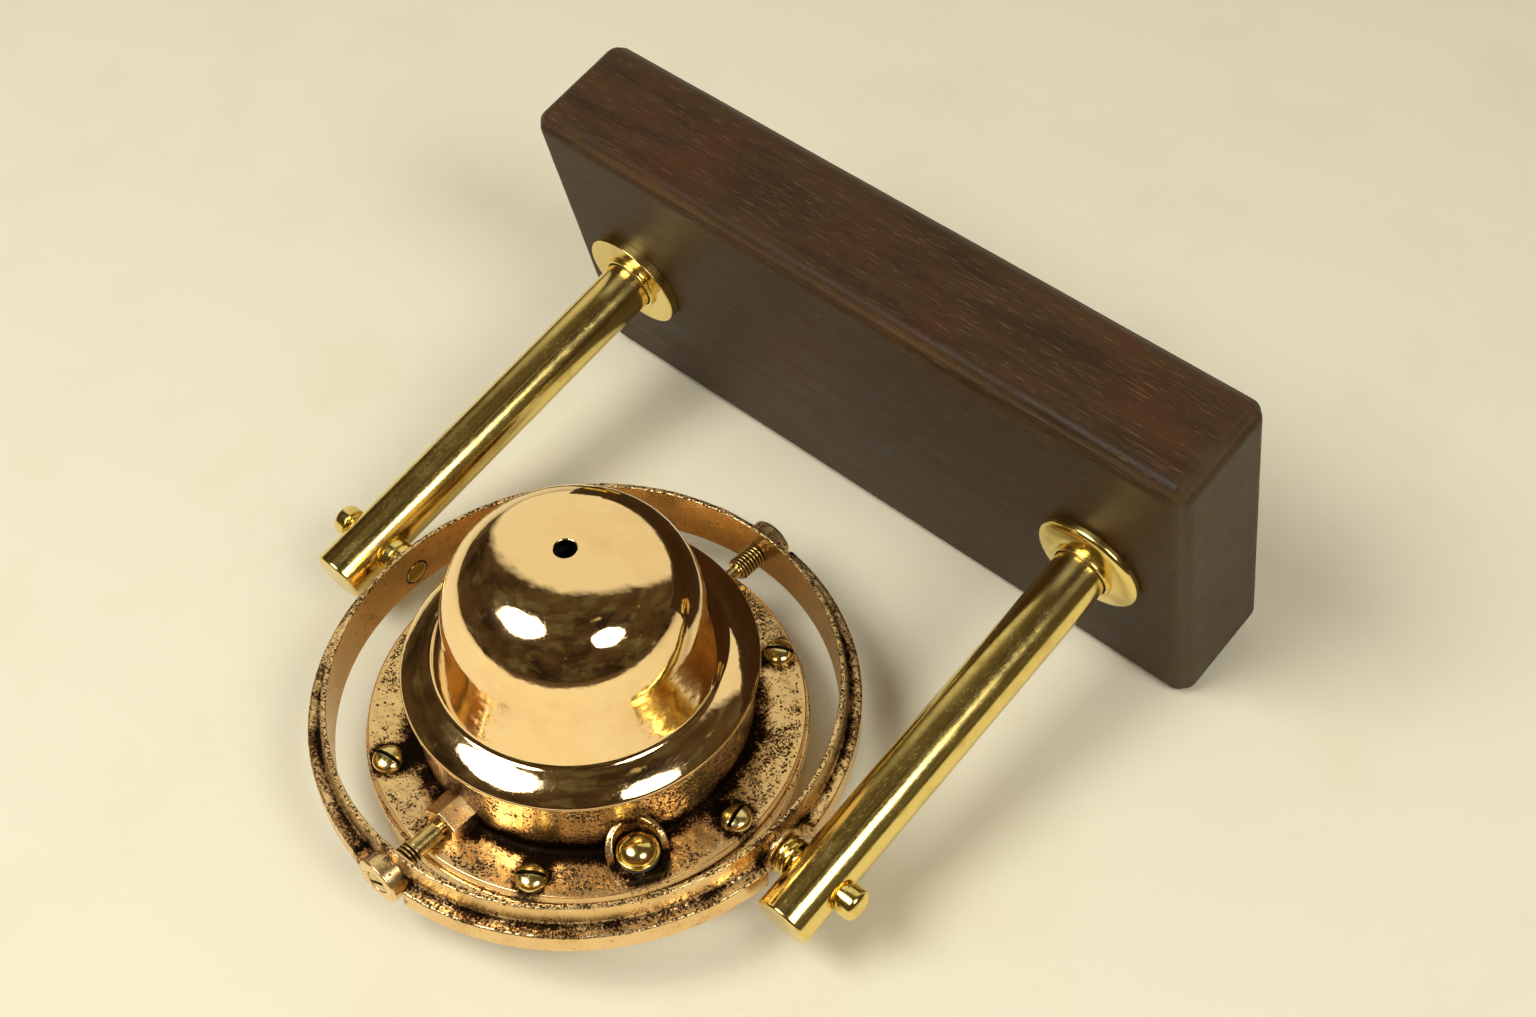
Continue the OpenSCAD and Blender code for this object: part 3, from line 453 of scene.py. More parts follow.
plainNodes = (
    (turnedSteel, "post_screws post_washers pivot_needle magnets"), (castLead, "ballast_weight"),
    (spunBrass, "diaphragm diaphragm_ring pivot_bridge card_float"), (castBronze, "bezel_ring"),
    (blackRubber, "flange_gasket glass_gasket"), (screwBrass, "bridge_screws lubber_pin bezel_screws"),
    (clearGlass, "glass"), (cardEnamel, "compass_card"), (rubyJewel, "jewel_cup"))
for finish, nodeNames in plainNodes:
    for nodeName in nodeNames.split():
        materials = frame["nodes"][nodeName].data.materials
        materials.clear()
        materials.append(finish)

# Wooden block, with a counterbore under each post
postPlaces = dict(left=-76.1, right=73.7)
block = dict(length=200, width=95.6, thickness=32.8, edge=4.5, reach=100.4, postLine=46.2, wear=1.6, dents=0.08,
             boreRadius=7.4, boreDepth=9)


# A rounded box: each point of a cube's skin is pushed from the nearest point of an inner box by the edge's
# radius, less the wear, which varies along the edges.
def makeBlock(length, width, thickness, edge, reach, postLine, wear, dents, boreRadius, boreDepth):
    half = np.array([length, thickness, width]) / 2
    centre = np.array([0, reach + half[1], half[2] - postLine])
    facet = 2.5
    shells = []
    marks = dict(worn=[], greyed=[])
    for axis in range(3):
        across = [other for other in range(3) if other != axis]
        lines = []
        for other in across:
            rim = half[other] - edge * (1 - np.tan(np.linspace(0, math.pi / 4, 9)))
            flat = np.arange(-half[other] + edge, half[other] - edge, facet)
            flat = flat + (half[other] - edge - flat[-1]) / 2
            lines.append(np.concatenate([-rim[::-1], flat, rim]))
        for side in (-1, 1):
            skin = np.empty((len(lines[0]), len(lines[1]), 3))
            skin[..., axis] = side * half[axis]
            skin[..., across[0]] = lines[0][:, None]
            skin[..., across[1]] = lines[1][None, :]
            inner = np.clip(skin, edge - half, half - edge)
            away = skin - inner
            away = away / np.linalg.norm(away, axis=-1, keepdims=True)
            uneven = latticeNoise(inner, 21, 5) * 0.5 + latticeNoise(inner, 6, 6) * 0.2
            bend = 1 - np.max(np.abs(away), -1)
            points = inner + away * edge - away * (bend * (0.9 + uneven) * wear)[..., None]
            points = points - away * (dents + dents * latticeNoise(points, 30, 7))[..., None]
            shells.append((moved(points + centre, standPlace), False, False))
            marks["worn"].append(smoothStep(0.02, 0.25, bend))
            marks["greyed"].append(smoothStep(half[0] - 9, half[0] - 1, points[..., 0]))
    piece = makePiece("wooden_block", "stand", oiledHardwood, shells, ["base_block"], 60, marks)
    low = reach + thickness - boreDepth
    high = reach + thickness + 5
    bore = [(0, low), (boreRadius, low), (boreRadius, high), (0, high)]
    drill(piece, [turned(bore, placeIn(standPlace, (x, 0, 0), (0, 1, 0))) for x in postPlaces.values()], 60)


makeBlock(**block)
print("block made")

# Posts, rosettes, pins and collars
posts = dict(radius=7, start=-13.5, bevel=0.8, end=100.4)
rosettes = dict(radius=14.3, thick=dict(left=2.6, right=3.8), beadRadius=8.2, bead=1.0)
pins = dict(radius=3, inner=60.05, head=4, headLength=5.4, neckRadius=3.4, neck=0.7, cap=2.0)
collars = dict(radius=4.8, start=63.45, groove=0.7, length=dict(left=5.55, right=3.15))


# A post: a bar that old polish darkens in the seam at its rosette.
def makePost(name, radius, start, bevel, end):
    seam = end - rosettes["bead"] - rosettes["thick"][name]
    bar = turned([(0, start), (radius, start, bevel), (radius, seam - 0.3), (radius, seam - 0.1),
                  (radius, seam), (radius, end), (0, end)],
                 placeIn(standPlace, (postPlaces[name], 0, 0), (0, 1, 0)), 128)
    reach = ((bar[0] - standPlace[:3, 3]) @ standPlace[:3, 1]) / mm ** 2
    marks = dict(dirtAndShade=[smoothStep(seam - 0.3, seam - 0.1, reach) * 0.7])
    makePiece("post_bar_" + name, "stand", polishedBrass, [bar], ["post_" + name], 38, marks)


# A rosette: a flat disc at the left, a flat dome at the right, and a bead round the post.
def makeRosette(name, radius, thick, beadRadius, bead):
    thick = thick[name]
    inside = beadRadius + 0.6
    if name == "left":
        face = [(radius, 0), (radius, thick, 0.25), (inside, thick + 0.15)]
    else:
        dome = [(inside + (radius - inside) * math.sin(turn), thick * (0.45 + 0.55 * math.cos(turn)))
                for turn in np.radians(np.arange(90, 0, -9))]
        face = [(radius - 0.3, 0), (radius, thick * 0.2, 0.3)] + dome + [(inside, thick)]
    top = thick + bead
    hole = posts["radius"] + 0.2
    collar = [(beadRadius, thick), (beadRadius, top, 0.45), (hole + 0.15, top, 0.2), (hole, thick), (hole, 0)]
    foot = placeIn(standPlace, (postPlaces[name], posts["end"], 0), (0, -1, 0))
    disc = turned(face + collar, foot, 128, True)
    makePiece("rosette_disc_" + name, "stand", polishedBrass, [disc], ["rosette_" + name])


# A dome's outline: part of a quarter of an oval, at the given turns in degrees.
def domeLine(radius, foot, rise, turns):
    return [(radius * math.cos(turn), foot + rise * math.sin(turn)) for turn in np.radians(turns)]


# A pin through a post: a straight shank, a neck and a domed head.
def makePin(name, place, radius, inner, head, headLength, neckRadius, neck, cap):
    start = abs(postPlaces[name]) + posts["radius"] + 0.1
    top = start + headLength
    line = [(0, inner), (radius, inner, 0.3), (radius, start), (neckRadius, start), (neckRadius, start + neck),
            (head, start + neck, 0.3), (head, top - cap)]
    line += domeLine(head, top - cap, cap, np.arange(12, 90, 11))
    pin = turned(line + [(0, top)], place, 64)
    makePiece("pin_" + name, "stand", polishedBrass, [pin], ["pivot_pin_" + name])


# A collar on a pin, with a groove round its middle.
def collarShell(name, place, radius, start, groove, length):
    end = start + length[name]
    middle = (start + end) / 2
    bore = pins["radius"] + 0.1
    return turned([(bore, start), (radius, start, 0.6), (radius, middle - 0.25, 0.5), (radius - groove, middle),
                   (radius, middle + 0.25, 0.5), (radius, end, 0.6), (bore, end)], place, 64, True)


collarShells = []
for side, name in ((-1, "left"), (1, "right")):
    across = placeIn(standPlace, (0, 0, 0), (side, 0, 0), (0, 1, 0))
    makePost(name, **posts)
    makeRosette(name, **rosettes)
    makePin(name, across, **pins)
    collarShells.append(collarShell(name, across, **collars))
makePiece("collar_rings", "stand", polishedBrass, collarShells, ["pivot_collars"])
print("stand made")

# Gimbal ring
ring = dict(inner=60.3, outer=61.6, top=8.6, bottom=-5.2, rib=65.6, ribHalf=2.85, fillet=1.6, notch=7.0,
            notchRadius=62.5, ribBlend=0.8, draft=0.8, steps=900)
bosses = dict(radius=6.0, low=-4.8, sideFace=63.15, sideBore=3.15, endFace=66.3, endBore=3.1, rough=0.35)


# The ring's section is carried round the bowl. Beside each boss the rib's radius drops to the notch's, and the
# sawn top edge and the rib are roughened by noise as the mould left them.
def ringWall(inner, outer, top, bottom, rib, ribHalf, fillet, notch, notchRadius, ribBlend, draft, steps):
    foot = outer + draft
    line = denseOutline([
        (inner, bottom, 0.4), (outer, bottom, 0.4), (foot, -ribHalf, fillet), (rib, -ribHalf, 0.6),
        (rib, ribHalf, 0.7), (foot, ribHalf, fillet), (outer, top, 0.35), (inner, top, 0.35)], 0.7, True)
    points = turnedGrid(line, roundAngles(steps))
    height = points[..., 2]
    radius = fromAxis(points)
    angle = np.arctan2(points[..., 1], points[..., 0])
    quarter = (angle + math.pi / 4) % (math.pi / 2) - math.pi / 4
    beside = np.abs(np.sin(quarter)) * radius
    keep = smoothStep(notch, notch + ribBlend, beside)
    newRadius = np.where(radius > notchRadius, notchRadius + (radius - notchRadius) * keep, radius)
    ribEdge = smoothStep(ribHalf - 0.5, ribHalf - 0.1, np.abs(height))
    ribEdge = ribEdge * smoothStep(outer + 0.3, outer + 1, radius)
    rough = np.clip(smoothStep(top - 0.5, top - 0.1, height) + ribEdge * 0.8, 0, 1)
    lift = (latticeNoise(points, 1.1, 11) * 0.6 + latticeNoise(points, 2.9, 12) * 0.4) * 0.13 * rough
    newRadius = newRadius + latticeNoise(points, 1.3, 13) * 0.1 * rough
    shaped = np.concatenate([points[..., :2] * (newRadius / radius)[..., None], (height + lift)[..., None]], -1)
    # Darkening: painted shade with some patina in the corners beside the rib and at the bosses' feet, a painted
    # shadow in the gap round each pin, and a little on the rib's rough top.
    corner = smoothStep(1.2, 0, np.abs(height) - ribHalf) * smoothStep(outer + 2.8, outer + 0.6, radius)
    outside = smoothStep(inner + 0.2, outer - 0.2, radius)
    nearPin = smoothStep(3.6, 3.1, np.hypot(points[..., 1], height)) * (np.abs(points[..., 0]) > 50)
    bossFoot = smoothStep(3.5, 0, beside - notch)
    dirtAndShade = np.clip((corner * 0.45 + bossFoot * 0.5) * outside + nearPin * 1.2 + ribEdge * 0.3, 0, 1.2)
    return shaped, dirtAndShade, rough


# A boss: a short bored bar, cut off level below.
def bossPoints(along, face, bore, radius, low):
    start = ring["inner"] + 0.7
    line = denseOutline([(bore, start), (radius, start), (radius, face, 0.5), (bore, face, 0.25)], 0.6, True)
    points = moved(turnedGrid(line, roundAngles(96)), placeIn(np.eye(4), (0, 0, 0), along, (0, 0, 1)))
    points[..., 2] = np.clip(points[..., 2], low, None)
    return points + (latticeNoise(points, 1.6, 14) * 0.06)[..., None]


# A cast piece. Its parts are points, how dark they are painted with patina and shade, how rough they are,
# and whether rows and columns close.
def makeCasting(name, body, replaced, parts):
    shells = [(moved(points, bowlPlace), *closed) for points, dirtAndShade, rough, *closed in parts]
    marks = dict(dirtAndShade=[part[1] for part in parts], rough=[part[2] + part[1] * 0 for part in parts])
    makePiece(name, body, castBronze, shells, [replaced], 50, marks)


ringParts = [(*ringWall(**ring), True, True)]
for along, kind in (((1, 0, 0), "side"), ((-1, 0, 0), "side"), ((0, 1, 0), "end"), ((0, -1, 0), "end")):
    boss = bossPoints(along, bosses[kind + "Face"], bosses[kind + "Bore"], bosses["radius"], bosses["low"])
    # Painted shade where the boss meets the ring's wall.
    dirtAndShade = smoothStep(ring["outer"] + 1, ring["outer"] - 0.2, fromAxis(boss)) * 0.8
    ringParts.append((boss, dirtAndShade, bosses["rough"], True, True))
makeCasting("ring_casting", "ring", "gimbal_ring", ringParts)
print("ring made")

# Pivot screws. Front and rear have where the thread starts, the shank's radius and where the shank ends.
pivotScrew = dict(radius=3.0, pitch=1.0, depth=0.68, end=66.2, tipRadius=1.4, tipEnd=42.5, slotWidth=1.0,
                  slotDepth=1.2, slotTurn=35, front=(54.6, 2.4, 48.0), rear=(52.7, 1.7, 46.0))


# A slotted end or head: columns of points run across the disc, those inside the slot drop to its floor,
# and the rows at both ends go down the side. Height over the disc comes from the function given.
def slottedTop(radius, heightAt, slotWidth, slotDepth, bottom, turn, place):
    rings = 28
    half = slotWidth / 2
    right = half + (radius - half) * np.sin(np.linspace(0, math.pi / 2, rings))
    across = np.concatenate([-right[::-1], [-half + 1e-3, half - 1e-3], right])
    inSlot = (np.abs(across) < half)[:, None]
    share = np.concatenate([[-1], np.sin(np.linspace(-math.pi / 2, math.pi / 2, 2 * rings)), [1]])
    x = np.broadcast_to(across[:, None], (len(across), len(share)))
    y = np.sqrt(np.clip(radius ** 2 - x ** 2, 0, None)) * share[None, :]
    z = heightAt(np.hypot(x, y))
    floor = heightAt(np.zeros(1))[0] - slotDepth
    z = np.where(inSlot, np.minimum(z, floor), z)
    z[:, [0, -1]] = bottom
    spin = math.radians(turn)
    points = np.stack([x * math.cos(spin) - y * math.sin(spin), x * math.sin(spin) + y * math.cos(spin), z], -1)
    # Painted shade: the slot is painted fully dark, and the side half dark near its foot.
    dirtAndShade = np.where(inSlot, 1.0, smoothStep(0.6, 0.0, z - bottom) * 0.5)
    return (moved(points, place), False, False), dirtAndShade


# A screw thread: the radius follows a rounded triangle wave of the height less the turn's share of the pitch.
def threadShell(place, low, high, outer, pitch, depth):
    core = outer - depth
    height = np.linspace(low, high, int((high - low) / pitch * 14))[:, None]
    angle = roundAngles(72)
    phase = (height / pitch - angle / (2 * math.pi)) % 1
    crest = np.clip((1 - np.abs(2 * phase - 1)) * 1.25, 0, 1) ** 0.8
    end = np.clip((height - low) / 0.6, 0, 1) * np.clip((high - height) / 0.4, 0, 1)
    radius = core + depth * crest * end
    height = np.broadcast_to(height, radius.shape)
    points = np.stack([radius * np.cos(angle), radius * np.sin(angle), height], -1)
    ends = [points[:1] * [0, 0, 1], points, points[-1:] * [0, 0, 1]]
    # Painted shade in the thread's grooves.
    groove = smoothStep(core + 0.95 * depth, core + 0.35 * depth, radius) * (end > 0.9)
    dirtAndShade = np.concatenate([radius[:1] * 0, groove, radius[:1] * 0])
    return (moved(np.concatenate(ends), place), False, True), dirtAndShade


def makePivotScrew(name, side, radius, pitch, depth, end, tipRadius, tipEnd, slotWidth, slotDepth, slotTurn,
                   **ends):
    place = placeIn(bowlPlace, (0, 0, 0), (0, side, 0), (0, 0, 1))
    start, shank, shankEnd = ends[name]
    tip = turned([(0, tipEnd), (tipRadius, tipEnd, 0.4), (tipRadius, shankEnd), (shank, shankEnd, 0.1),
                  (shank, start + 0.5), (0, start + 0.5)], place, 48)
    thread, threadShade = threadShell(place, start, end - 1.6, radius, pitch, depth)
    cap, capShade = slottedTop(radius, lambda r: end - 0.25 * smoothStep(radius - 0.5, radius, r),
                              slotWidth, slotDepth, end - 1.7, slotTurn, place)
    marks = dict(dirtAndShade=[np.zeros(tip[0].shape[:2]), threadShade, capShade])
    makePiece("pivot_screw_thread_" + name, "ring", oldScrewBrass, [tip, thread, cap],
              ["pivot_screw_" + name], 50, marks)


for side, name in ((-1, "front"), (1, "rear")):
    makePivotScrew(name, side, **pivotScrew)
print("pivot screws made")

# Bell
bell = dict(lipRadius=41.9, lipHeight=16.7, rimRadius=40.3, rimHeight=15.1, lip=1.2, foot=38.6, lipSlope=50.0,
            neckSlope=72.0, waistSlope=18.5, domeSlope=8.6, neck=2.2, waist=83.0, dome=31.0, domeHeight=36.0,
            squareness=3.2, vent=2.6)


# Points after the first on an arc of the outline, which runs from one slope to another. A slope is how many
# degrees the surface looks up from level, and a radius below zero bends the arc the other way.
def slopeArc(start, radius, fromSlope, toSlope, count):
    slopes = np.radians(np.linspace(fromSlope, toSlope, count + 1))
    line = radius * np.stack([np.cos(slopes), np.sin(slopes)], 1)
    return (line - line[0] + np.array(start))[1:]


# The bell's outline, from the lip up: a small round lip, a wide skirt, a tight hollow neck, a slack waist, and
# a dome whose radius and height follow a superellipse from where its slope is the waist's. The skirt's radius
# is the one that reaches from the lip to the neck.
def bellShell(place, lipRadius, lipHeight, rimRadius, rimHeight, lip, foot, lipSlope, neckSlope, waistSlope,
              domeSlope, neck, waist, dome, domeHeight, squareness, vent):
    lipCos, neckCos, waistCos, domeCos = np.cos(np.radians([lipSlope, neckSlope, waistSlope, domeSlope]))
    power = 2 / squareness
    first = math.atan((math.tan(math.radians(domeSlope)) * domeHeight / dome) ** (1 / (2 - power)))
    waistIn = waist * (domeCos - waistCos)
    neckIn = neck * (waistCos - neckCos)
    neckRadius = dome * math.cos(first) ** power + waistIn + neckIn
    rimLine = slopeArc((lipRadius - lip, lipHeight - lip), lip, -90, lipSlope, 14)
    skirtRadius = (rimLine[-1][0] - neckRadius) / (lipCos - neckCos)
    skirtLine = slopeArc(rimLine[-1], skirtRadius, lipSlope, neckSlope, 28)
    neckLine = slopeArc(skirtLine[-1], -neck, neckSlope, waistSlope, 16)
    waistLine = slopeArc(neckLine[-1], -waist, waistSlope, domeSlope, 30)
    share = np.linspace(first, math.pi / 2, 160)[1:]
    domeFoot = waistLine[-1][1] - domeHeight * math.sin(first) ** power
    domeRadius = dome * np.cos(share) ** power
    domeLine = np.stack([domeRadius, domeFoot + domeHeight * np.sin(share) ** power], 1)
    domeLine = domeLine[domeRadius > vent + 0.5]
    top = domeFoot + domeHeight
    ventLine = outlineOf([domeLine[-1], (vent, top, 0.35), (vent, top - 2)])[1:]
    inner = [(20, top - 6), (dome - 3, domeFoot + 12), (dome - 3, rimLine[-1][1] + 2), (foot, rimHeight + 2)]
    under = [(foot, rimHeight), (rimRadius, rimHeight)]
    line = np.concatenate([under, rimLine, skirtLine, neckLine, waistLine, domeLine, ventLine, inner])
    return moved(turnedGrid(line, roundAngles(256)), place), True, True


makePiece("bell", "bowl", mirrorBronze, [bellShell(bowlPlace, **bell)], ["bell_cover"], 50)
print("bell made")

# Bottom casting, with its lugs and the filler boss
casting = dict(flange=52.4, top=-2.3, bottom=-4.9, wall=40.0, bore=34.0, foot=1.4, wallTop=15.1, spigot=38.5,
               edge=0.45, steps=720)
lugs = dict(radius=5.2, start=38.5, reach=47.0, top=6.2)
plugBoss = dict(radius=7.2, spot=5.6, rise=6.5, edge=51.4)
plugSpot = dict(angle=-30, radius=45.2, height=0.3)
plug = dict(collar=5.1, collarThick=1.6, head=4.5, headHeight=3.0, washer=0.6)
screwCircle = 48.2
flangeScrew = dict(head=3.8, height=2.7, rim=0.5, slotWidth=1.0, slotDepth=1.2, turns=(12, 62, 28, 75, 40, 5))
plugTurn = math.radians(plugSpot["angle"])
plugOut = np.array([math.cos(plugTurn), math.sin(plugTurn), 0])
plugSeat = plugOut * plugSpot["radius"] + np.array([0, 0, plugSpot["height"]])
plugPlace = placeIn(np.eye(4), plugSeat, (0, 0, 1), plugOut)
screwTurns = roundAngles(len(flangeScrew["turns"]))
screwSpots = screwCircle * np.stack([np.cos(screwTurns), np.sin(screwTurns)], -1)


# How dark the casting is painted, patina and painted shade together: most at the wall's foot and round the
# screw heads, the lugs and the plug, and stronger on the side that faces -45 degrees.
def castingSoot(points):
    radius = fromAxis(points)
    angle = np.arctan2(points[..., 1], points[..., 0])
    foot = smoothStep(7.0, 0.5, radius - casting["wall"]) * smoothStep(6.5, 0, points[..., 2] - casting["top"])
    toScrews = np.min(np.linalg.norm(points[..., None, :2] - screwSpots, axis=-1), -1)
    screws = smoothStep(3.2, 0.2, toScrews - flangeScrew["head"])
    lugShade = smoothStep(11, 4.5, np.hypot(points[..., 0], np.abs(points[..., 1]) - 44))
    plugShade = smoothStep(13, 6, np.linalg.norm(points - (plugSeat + np.array([0, 0, 2])), axis=-1))
    front = smoothStep(-0.9, 0.4, np.cos(angle - math.radians(-45)))
    shade = foot * 0.85 + screws * 0.7 + lugShade * 0.55 + plugShade * 0.55
    return np.clip(shade * (0.5 + 0.5 * front), 0, 1.2)


# The flange and the wall on it: a turned section, with noise on the flange's top and up the wall.
def flangePoints(flange, top, bottom, wall, bore, foot, wallTop, spigot, edge, steps):
    line = denseOutline([
        (bore, bottom), (flange, bottom, 0.25), (flange, top, edge), (wall, top, foot), (wall, wallTop),
        (spigot, wallTop), (bore, wallTop - 2)], 0.55, True)
    points = turnedGrid(line, roundAngles(steps))
    radius = fromAxis(points)
    outside = radius > wall - 0.5
    plate = smoothStep(flange - 0.4, flange - 2.2, radius) * (points[..., 2] > top - 0.3) * outside
    noise = latticeNoise(points, 1.2, 21) * 0.5 + latticeNoise(points, 3.4, 22) * 0.5
    points[..., 2] += noise * 0.12 * plate * (points[..., 2] < top + 1)
    wave = latticeNoise(points, 5, 23) * 0.12 * smoothStep(top + 1, top + 3, points[..., 2])
    points[..., :2] *= (1 + wave * outside / radius)[..., None]
    patches = smoothStep(-0.35, 0.4, latticeNoise(points, 7, 24) + latticeNoise(points, 2.5, 25) * 0.5)
    return points, plate * (0.3 + 0.9 * patches)


# A lug for a pivot screw: a bar with its six faces slightly flattened, rounded into the wall and the flange.
def lugPoints(side, radius, start, reach, top):
    line = denseOutline([(0, start), (radius, start), (radius, reach, 0.6), (0, reach)], 0.6)
    angles = roundAngles(96)
    face = np.abs((angles + math.pi / 6) % (math.pi / 3) - math.pi / 6)
    points = turnedGrid(line, angles)
    points[..., :2] *= (0.9 / np.cos(face))[None, :, None]
    points = moved(points, placeIn(np.eye(4), (0, 0, 0), (0, side, 0), (1, 0, 0)))
    points = points + (latticeNoise(points, 3, 26) * 0.06)[..., None]
    points[..., 2] = np.clip(points[..., 2], casting["top"] - 0.3, top)
    return points


# The plug's seat is a short bar, and the wall behind it is a crescent whose height falls to both its ends.
def plugBossPoints(radius, spot, rise, edge):
    pad = turnedGrid(denseOutline([(0, -4), (radius, -4), (radius, 0, 0.4), (0, 0)], 0.6), roundAngles(96))
    angles = np.linspace(math.radians(84), math.radians(276), 64)
    lift = np.sin((angles - angles[0]) / (angles[-1] - angles[0]) * math.pi) ** 0.6
    foot = -0.5
    wall = turnedGrid(denseOutline([(spot, foot), (spot, rise, 0.5), (radius, rise, 0.5), (radius, foot)], 0.6),
                      angles)
    wall[..., 2] = foot + (wall[..., 2] - foot) * lift[None, :]
    out = []
    for points in (pad, wall):
        points = moved(points, plugPlace)
        points = points + (latticeNoise(points, 2, 27) * 0.08)[..., None]
        points[..., 2] = np.maximum(points[..., 2], casting["top"] - 0.4)
        points[..., :2] *= np.minimum(1, edge / fromAxis(points)[..., None])
        out.append(points)
    return out


flange, flangeRough = flangePoints(**casting)
pad, crescent = plugBossPoints(**plugBoss)
castingParts = [(flange, castingSoot(flange), flangeRough, True, True)]
for side in (-1, 1):
    lug = lugPoints(side, **lugs)
    castingParts.append((lug, castingSoot(lug) * 0.15, 0.02, False, True))
# The plug's seat is painted much darker: a painted shadow under the plug.
castingParts.append((pad, castingSoot(pad) * 1.6, 0.3, False, True))
castingParts.append((crescent, castingSoot(crescent) * 0.3, 0.15, True, False))
makeCasting("flange_casting", "bowl", "bottom_casting", castingParts)

body = dict(radius=53.2, top=-5.4, low=-8.4, wall=46.5, inner=44.0, lower=52.1, lowerTop=-12.6, bottom=-18.0,
            seat=-14.4, seatRadius=46.2, rough=0.25)


# The bowl's body: a flange under the casting's, a drawn-in wall and a lower flange with the glass's seat.
def makeBody(radius, top, low, wall, inner, lower, lowerTop, bottom, seat, seatRadius, rough):
    line = denseOutline([
        (inner, top), (radius, top, 0.4), (radius, low, 0.4), (wall, low, 0.6), (wall, lowerTop, 0.6),
        (lower, lowerTop, 0.4), (lower, bottom, 0.2), (seatRadius, bottom), (seatRadius, seat), (inner, seat)],
        0.8, True)
    points = turnedGrid(line, roundAngles(480))
    edge = smoothStep(0.8, 0, np.abs(points[..., 2] - top))
    # Painted shade under the flange near the drawn-in wall, and a dark joint line at the top edge.
    dirtAndShade = smoothStep(5.5, 0, fromAxis(points) - wall) * 0.5 + edge * 0.2
    makeCasting("bowl_casting", "bowl", "bowl_body", [(points, dirtAndShade, rough, True, True)])


makeBody(**body)
print("bowl made")


# Round heads: the crown falls with a power of the distance from its middle, a little flatter than a ball.
def makeFlangeScrews(head, height, rim, slotWidth, slotDepth, turns):
    heads = []
    for spot, turn in zip(screwSpots, turns):
        place = placeIn(bowlPlace, (spot[0], spot[1], casting["top"]), (0, 0, 1), (spot[0], spot[1], 0))
        heads.append(slottedTop(
            head, lambda r: rim + (height - rim) * np.sqrt(np.clip(1 - (r / head) ** 2.2, 0, 1)),
            slotWidth, slotDepth, -0.1, turn, place))
    makePiece("round_head_screws", "bowl", screwBrass, [shell for shell, dirtAndShade in heads],
              ["flange_screws"], 45, dict(dirtAndShade=[dirtAndShade for shell, dirtAndShade in heads]))


# The filler plug: a round collar and a high dome, on its washer.
def makePlug(collar, collarThick, head, headHeight, washer):
    place = bowlPlace @ plugPlace
    top = washer + collarThick
    line = [(0, 0.1), (2, 0.1), (2, washer), (collar, washer, 0.35), (collar, top, 0.5),
            (head - 0.15, top - 0.25)]
    line += domeLine(head, top, headHeight, np.arange(0, 90, 7.5))
    shell = turned(line + [(0, top + headHeight)], place)
    makePiece("plug_dome", "bowl", polishedBrass, [shell], ["filler_plug"])
    washerRadius = collar - 0.2
    shell = turned([(2.2, 0.02), (washerRadius, 0.02, 0.1), (washerRadius, washer - 0.02, 0.1),
                    (2.2, washer - 0.02)], place, 96, True)
    makePiece("plug_washer", "bowl", blueFibre, [shell], ["filler_washer"])


makeFlangeScrews(**flangeScrew)
makePlug(**plug)
print("screws and plug made")

# Card: a degree circle and a rose of plain points, on the side that faces the glass
cardPrint = dict(face=-12.6, lift=0.03, tickOuter=38.8, numberRadius=32.5, numberSize=3.2)
low = cardPrint["face"] - cardPrint["lift"]


# Flat shapes on the card: each shape is four points (radius, angle in degrees).
def printShapes(name, shapes, finish, height):
    radius, angle = np.moveaxis(np.array(shapes, float), -1, 0)
    angle = np.radians(angle)
    points = np.stack([radius * np.cos(angle), radius * np.sin(angle), np.full(angle.shape, height)], -1)
    shells = [(moved(shape[[[0, 1], [3, 2]]], bowlPlace), False, False) for shape in points]
    makePiece(name, "card", finish, shells)


ticks = []
for degree in range(0, 360, 2):
    length = 3.4 if degree % 30 == 0 else 2.6 if degree % 10 == 0 else 1.4
    width = 0.34 if degree % 10 == 0 else 0.2
    outer = cardPrint["tickOuter"]
    ticks.append([(outer, degree - width), (outer, degree + width), (outer - length, degree + width),
                  (outer - length, degree - width)])
printShapes("degree_ticks", ticks, printInk, low)
darkHalves = []
redHalves = []
for point in range(16):
    turn = 90 - point * 22.5
    size = 29 if point % 4 == 0 else 24 if point % 2 == 0 else 17
    waist = 7 if point % 2 == 0 else 9
    darkHalves.append([(0, turn), (waist, turn - 11.25), (size, turn), (size * 0.5, turn)])
    redHalves.append([(0, turn), (size * 0.5, turn), (size, turn), (waist, turn + 11.25)])
printShapes("rose_dark_halves", darkHalves, printInk, low - 0.02)
printShapes("rose_red_halves", redHalves, redInk, low - 0.02)


# Degree numbers every 30 degrees, read through the glass: text made flat meshes, and joined as one.
def printNumbers(radius, size, height):
    letters = {}
    for degree in range(0, 360, 30):
        curve = bpy.data.curves.new("number", "FONT")
        curve.body = str(degree)
        curve.size = size * mm
        curve.align_x = "CENTER"
        curve.align_y = "CENTER"
        curve.resolution_u = 3
        letters[degree] = shown("number", curve)
    bpy.context.view_layer.update()
    joined = bmesh.new()
    for degree, letter in letters.items():
        flat = bpy.data.meshes.new_from_object(letter)
        turn = math.radians(90 + degree)
        spot = Vector((math.cos(turn) * radius, math.sin(turn) * radius, height)) * mm
        place = Matrix.Translation(Vector(gimbalMiddle) + spot) @ Matrix.Rotation(turn - math.pi / 2, 4, "Z")
        flat.transform(place @ Matrix.Rotation(math.pi, 4, "Y"))
        joined.from_mesh(flat)
        bpy.data.objects.remove(letter)
    mesh = bpy.data.meshes.new("degree_numbers")
    joined.to_mesh(mesh)
    joined.free()
    addPiece("degree_numbers", "card", printInk, mesh)


printNumbers(cardPrint["numberRadius"], cardPrint["numberSize"], low - 0.01)
print("card printed")

